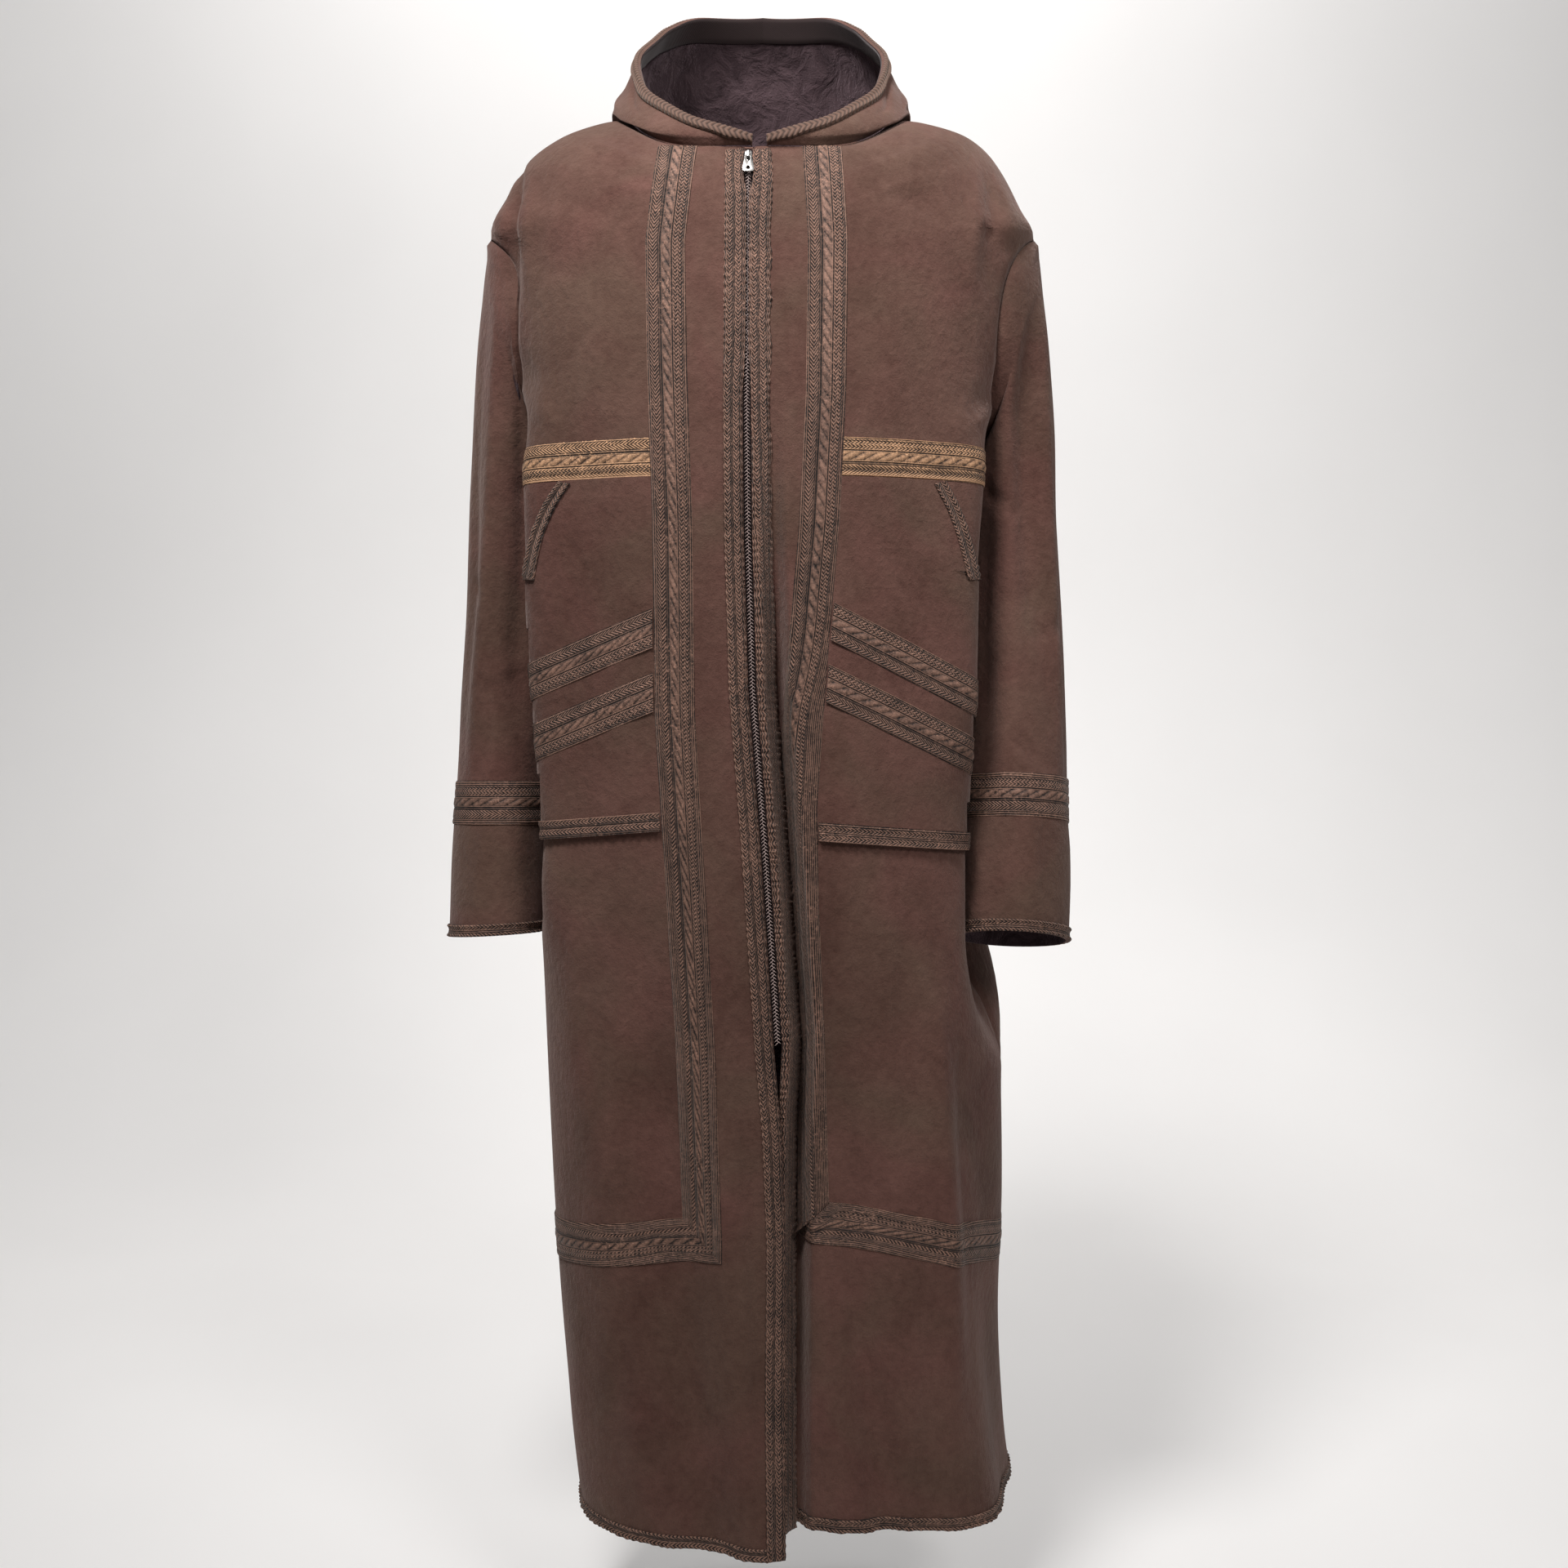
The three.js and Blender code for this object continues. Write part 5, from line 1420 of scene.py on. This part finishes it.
def mouth_braid(side):
    sign = SIDES[side]
    mouth = POCKET[side]["mouth"]
    place = np.linspace(0, mouth.last, 50)[:, None]
    row = mouth.at(place)
    share = np.linspace(0.04, 1, 13)[None, :]
    across = row["across"] - sign * share * MOUTH_BRAID
    height = row["height"] - share * 3 - 0.8
    turn = MAPS[side].kept_ahead(MAPS[side].turn_at(across, height), height, POCKET_DEPTH)
    points, normals = MAPS[side].cloth(turn, height)
    return trim(f"pocket_mouth_braid_{side}_strip", points, normals, POCKET_BRAID_LIFT, narrow_relief)


def hem_braid(side):
    ring_top, ring_foot = BODY.last - HEM_BRAID, BODY.last
    if side == "back":
        turn = np.linspace(90.2, 269.8, 420)[:, None]
    else:
        sign = SIDES[side]
        start = MAPS[side].turn_at(zip_edge(side, -1325.0) + sign * (NARROW_BRAID + 0.6), -1325.0)
        turn = np.linspace(float(start), sign * 89.8, 220)[:, None]
    down = np.linspace(0, 1, 13)[None, :]
    ring = lerp(ring_top, ring_foot, down)
    scallop = 0.018 * np.sin(np.radians(turn) * 30) * down**4
    points, normals = body_cloth(ring + scallop, turn + 0 * ring, side)
    return trim(f"hem_braid_{side}_strip", points, normals, BRAID_LIFT, narrow_relief)


def round_sleeve(side, name, low, high, count, relief):
    angle = np.linspace(0, 2 * np.pi, 220, endpoint=False)[:, None]
    row = lerp(low, high, np.linspace(0, 1, count)[None, :]) + 2
    points, normals = sleeve_cloth(side, row, angle)
    return trim(f"{name}_{side}_strip", points, normals, BRAID_LIFT, relief, wraps=True)


def hood_strip(side, name, width, first, lift, relief):
    sign = SIDES[side]
    place = np.linspace(first, HOOD.last, 260)
    ends = hood_share(place, sign, width)
    share = ends[:, None] * np.linspace(0, 1, 11)[None, :]
    points, normals = hood_cloth(place[:, None], share, sign)
    points[-1, :, 0] = 0
    if lift < 0:
        normals = -normals
    return trim(f"{name}_{side}_strip", points, normals, abs(lift), relief)


# The zip


def zip_middle(height):
    """Points and normals along the middle of the closed zip."""
    across = OPENING.line("height", height, "right")
    return MAPS["right"].seen(across, height)


def zip_tape(side):
    sign = SIDES[side]
    height = np.arange(ZIP_TOP, ZIP_FOOT, -4.0)[:, None]
    share = np.linspace(0, 1, 8)[None, :]
    across = OPENING.line("height", height, side) + sign * lerp(SEAM_GAP / 2, TAPE["wide"], share)
    points, normals = MAPS[side].seen(across, height + 0 * across)
    under = -CLOTH - TAPE["under"] - TAPE["thick"]
    return trim(f"zip_tape_{side}_strip", points, normals, under, flat_relief)


def zip_teeth():
    """Closed teeth, alternately from each side: one is modelled, and the rest are copies of it."""
    bpy.ops.mesh.primitive_uv_sphere_add(segments=8, ring_count=6, radius=0.5, location=(0, 0, 0))
    tooth = bpy.context.active_object
    size = (TOOTH["reach"] * 2, TOOTH["thick"], TOOTH["tall"])
    shape = np.array([v.co for v in tooth.data.vertices]) * size
    faces = [list(p.vertices) for p in tooth.data.polygons]
    bpy.data.objects.remove(tooth)
    heights = np.arange(ZIP_TOP - 4, ZIP_FOOT + 1, -TOOTH["pitch"] / 2)
    points, normals = zip_middle(heights)
    tangent = np.gradient(points, axis=0)
    tangent /= np.linalg.norm(tangent, axis=1, keepdims=True)
    sideways = np.cross(normals, tangent)
    vertices, all_faces = [], []
    for n, (point, normal, down, side) in enumerate(zip(points, normals, tangent, sideways)):
        offset = TOOTH["overlap"] * (1 if n % 2 else -1)
        lean = TOOTH["lean"] * (1 if n % 2 else -1)
        across = side + lean * down
        place = point + normal * TOOTH["lift"] + side * offset
        all_faces += [[i + len(vertices) * len(shape) for i in face] for face in faces]
        vertices.append(place + shape[:, :1] * across + shape[:, 1:2] * down + shape[:, 2:] * normal)
    return new_object("zip_teeth", np.concatenate(vertices), all_faces)


def softened(node, name, radius):
    """A copy of a hard solid with its doubled corners merged and its edges rounded."""
    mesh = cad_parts[node].data.copy()
    mesh.materials.clear()
    piece = bpy.data.objects.new(name, mesh)
    bpy.context.scene.collection.objects.link(piece)
    bpy.ops.object.select_all(action="DESELECT")
    piece.select_set(True)
    bpy.context.view_layer.objects.active = piece
    bpy.ops.object.mode_set(mode="EDIT")
    bpy.ops.mesh.select_all(action="SELECT")
    bpy.ops.mesh.remove_doubles(threshold=0.00002)
    bpy.ops.mesh.dissolve_limited(angle_limit=math.radians(1))
    bpy.ops.object.mode_set(mode="OBJECT")
    bevel = piece.modifiers.new("Soft edges", "BEVEL")
    bevel.width = radius
    bevel.segments = 3
    bevel.angle_limit = math.radians(35)
    bpy.ops.object.modifier_apply(modifier=bevel.name)
    bpy.ops.object.shade_smooth_by_angle(angle=math.radians(40))
    return piece


# Operators

TRIMS = {}


def add_trim(piece, node, finish, cloth):
    settle(piece, node, [material(finish)])
    TRIMS.setdefault(cloth, []).append(piece)


class PieceOperator:
    """What the operators share: each builds its pieces."""

    bl_options = {"REGISTER", "UNDO"}

    def execute(self, context):
        self.build()
        return {"FINISHED"}


class ABAYA_OT_braids_body(PieceOperator, bpy.types.Operator):
    """Sew the braids on the fronts, the back and the hem"""

    bl_idname = "abaya.braids_body"
    bl_label = "Braids on the body"

    def build(self):
        for side in SIDES:
            cloth = "front_" + side
            add_trim(front_braid(side), f"front_braid_{side}", "narrow_braid", cloth)
            add_trim(long_band(side), f"long_band_{side}", "wide_braid", cloth)
            add_trim(lower_band(side), f"lower_band_{side}", "wide_braid", cloth)
            add_trim(chest_band(side), f"chest_band_{side}", "chest_braid", cloth)
            add_trim(hem_braid(side), f"hem_braid_{side}", "narrow_braid", cloth)
        add_trim(lower_band_back(), "lower_band_back", "wide_braid", "back")
        add_trim(hem_braid("back"), "hem_braid_back", "narrow_braid", "back")


class ABAYA_OT_pockets(PieceOperator, bpy.types.Operator):
    """Sew on the patch pockets with their braids"""

    bl_idname = "abaya.pockets"
    bl_label = "Pockets"

    def build(self):
        for side in SIDES:
            pocket = POCKET[side]
            cloth = "pocket_" + side
            add_trim(mouth_braid(side), f"pocket_mouth_braid_{side}", "narrow_braid", cloth)
            hem = pocket_strip(side, "pocket_hem_band", pocket["hem"], NARROW_BRAID, narrow_relief, 13)
            add_trim(hem, f"pocket_hem_band_{side}", "narrow_braid", cloth)
            for name, ends in pocket["slants"].items():
                slant = pocket_strip(side, "slant_band_" + name, ends, WIDE_BRAID, wide_relief, 25)
                add_trim(slant, f"slant_band_{name}_{side}", "wide_braid", cloth)
            patch, points = pocket_piece(side)
            settle(patch, cloth, [material("suede"), material("plush")])
            declare_sheet(points)


class ABAYA_OT_body(PieceOperator, bpy.types.Operator):
    """Hang the two fronts and the back"""

    bl_idname = "abaya.body"
    bl_label = "Fronts and back"

    def build(self):
        for side in SIDES:
            cloth, points = front_cloth(side)
            settle(cloth, f"front_{side}", [material("suede"), material("plush")])
            declare_sheet(points)
        cloth, points = back_cloth()
        settle(cloth, "back", [material("suede"), material("plush")])
        declare_sheet(points)


class ABAYA_OT_sleeves(PieceOperator, bpy.types.Operator):
    """Set in the sleeves with their braids"""

    bl_idname = "abaya.sleeves"
    bl_label = "Sleeves"

    def build(self):
        for side in SIDES:
            cloth = "sleeve_" + side
            last = SLEEVE[side].last
            cuff = round_sleeve(side, "cuff_braid", last - CUFF_BRAID, last, 11, narrow_relief)
            add_trim(cuff, f"cuff_braid_{side}", "narrow_braid", cloth)
            band = round_sleeve(side, "sleeve_band", *SLEEVE_BAND[side], 25, wide_relief)
            add_trim(band, f"sleeve_band_{side}", "wide_braid", cloth)
            tube, points = sleeve_piece(side)
            settle(tube, cloth, [material("suede"), material("plush")])
            closed = np.concatenate([points, points[:, :1]], axis=1)
            declare_sheet(closed)


class ABAYA_OT_hood(PieceOperator, bpy.types.Operator):
    """Lay the hood on the shoulders with its braid and facing"""

    bl_idname = "abaya.hood"
    bl_label = "Hood"

    def build(self):
        for side in SIDES:
            cloth = "hood_" + side
            rim = hood_strip(side, "hood_braid", HOOD_BRAID, 0.0, 0.5, cord_relief)
            add_trim(rim, f"hood_braid_{side}", "hood_braid", cloth)
            facing = hood_strip(side, "hood_facing", HOOD_FACING, 3.3, -CLOTH - 0.9, flat_relief)
            add_trim(facing, f"hood_facing_{side}", "facing", cloth)
            half, points = hood_piece(side)
            settle(half, cloth, [material("suede"), material("plush")])
            declare_sheet(points)


class ABAYA_OT_zip(PieceOperator, bpy.types.Operator):
    """Close the front with its zip"""

    bl_idname = "abaya.zip"
    bl_label = "Zip"

    def build(self):
        for side in SIDES:
            settle(zip_tape(side), f"zip_tape_{side}", [material("zip_tape")])
        settle(zip_teeth(), "zip_coil", [material("zip_teeth")])
        slider = softened("slider", "zip_slider", 0.0003)
        settle(slider, "slider", [material("zip_metal")])
        pull = softened("pull", "zip_pull", 0.0003)
        settle(pull, "pull", [material("zip_metal")], body="pull")


def area_light(name, place, aim, size, power, spread):
    light = bpy.data.lights.new(name, "AREA")
    light.shape = "DISK"
    light.size = size
    light.energy = power
    light.spread = math.radians(spread)
    lamp = bpy.data.objects.new(name, light)
    lamp.visible_camera = False
    lamp.location = place
    lamp.rotation_euler = (Vector(aim) - Vector(place)).to_track_quat("-Z", "Y").to_euler()
    bpy.context.scene.collection.objects.link(lamp)


class ABAYA_OT_stage(PieceOperator, bpy.types.Operator):
    """Set up the pale floor, the soft studio light and the camera"""

    bl_idname = "abaya.stage"
    bl_label = "Stage"

    def build(self):
        bpy.ops.object.select_all(action="DESELECT")
        bpy.ops.mesh.primitive_grid_add(x_subdivisions=2, y_subdivisions=60, size=1, location=(0, 0, 0))
        floor = bpy.context.active_object
        floor.name = "floor"
        flat, radius = PAPER["flat"], PAPER["radius"]
        for vertex in floor.data.vertices:
            run = (vertex.co.y + 0.5) * PAPER["long"]
            angle = min(max((run - flat) / radius, 0), math.pi / 2)
            rest = max(run - flat - radius * math.pi / 2, 0)
            forward = min(run, flat) + radius * math.sin(angle)
            up = radius * (1 - math.cos(angle)) + rest
            vertex.co = (vertex.co.x * PAPER["wide"], forward + PAPER["from"], FLOOR + up)
        bpy.ops.object.shade_smooth()
        paper = Finish("paper", 0.9, specular=0.1)
        tone = paper.noise(0.6, 2)
        paper.colour(paper.mix(tone, linear(214, 211, 209), linear(224, 221, 219)))
        paper.set("Emission Color", (1, 1, 1, 1))
        paper.set("Emission Strength", 0.2)
        floor.data.materials.append(paper.material)
        area_light("key", (-0.5, -1.2, 1.35), (0, 0, 0.08), 0.7, 18.5, spread=88)
        area_light("fill", (1.05, -1.8, 0.8), (0.2, 0, -0.05), 0.8, 8.5, spread=96)
        area_light("wall", (0, 0.9, 2.8), (0, 3.4, 0.9), 2.6, 62, spread=150)
        world = bpy.data.worlds.new("studio")
        world.use_nodes = True
        world.node_tree.nodes["Background"].inputs["Color"].default_value = (1, 1, 1, 1)
        world.node_tree.nodes["Background"].inputs["Strength"].default_value = 0.13
        bpy.context.scene.world = world
        bpy.context.scene.view_settings.view_transform = "Standard"
        camera = bpy.data.cameras.new("camera")
        camera.sensor_width = CAMERA["sensor"]
        camera.lens = CAMERA["lens"]
        holder = bpy.data.objects.new("camera", camera)
        holder.location = CAMERA["place"]
        holder.rotation_euler = (math.pi / 2, 0, 0)
        bpy.context.scene.collection.objects.link(holder)
        bpy.context.scene.camera = holder


class ABAYA_PT_panel(bpy.types.Panel):
    """Lists the abaya's pieces in the 3D view's sidebar"""

    bl_label = "Fleece abaya"
    bl_idname = "ABAYA_PT_panel"
    bl_space_type = "VIEW_3D"
    bl_region_type = "UI"
    bl_category = "Abaya"

    def draw(self, context):
        for name in AbayaSettings.__annotations__:
            self.layout.prop(context.scene.abaya, name)
        for operator in PIECES:
            self.layout.operator(operator.bl_idname)


PIECES = (
    ABAYA_OT_braids_body,
    ABAYA_OT_pockets,
    ABAYA_OT_body,
    ABAYA_OT_sleeves,
    ABAYA_OT_hood,
    ABAYA_OT_zip,
    ABAYA_OT_stage,
)
CLASSES = (AbayaSettings, *PIECES, ABAYA_PT_panel)


def register():
    for cls in CLASSES:
        bpy.utils.register_class(cls)
    bpy.types.Scene.abaya = bpy.props.PointerProperty(type=AbayaSettings)


def unregister():
    del bpy.types.Scene.abaya
    for cls in reversed(CLASSES):
        bpy.utils.unregister_class(cls)


def main():
    register()
    bpy.ops.abaya.braids_body()
    bpy.ops.abaya.pockets()
    bpy.ops.abaya.body()
    bpy.ops.abaya.sleeves()
    bpy.ops.abaya.hood()
    bpy.ops.abaya.zip()
    bpy.ops.abaya.stage()


if __name__ == "__main__":
    main()
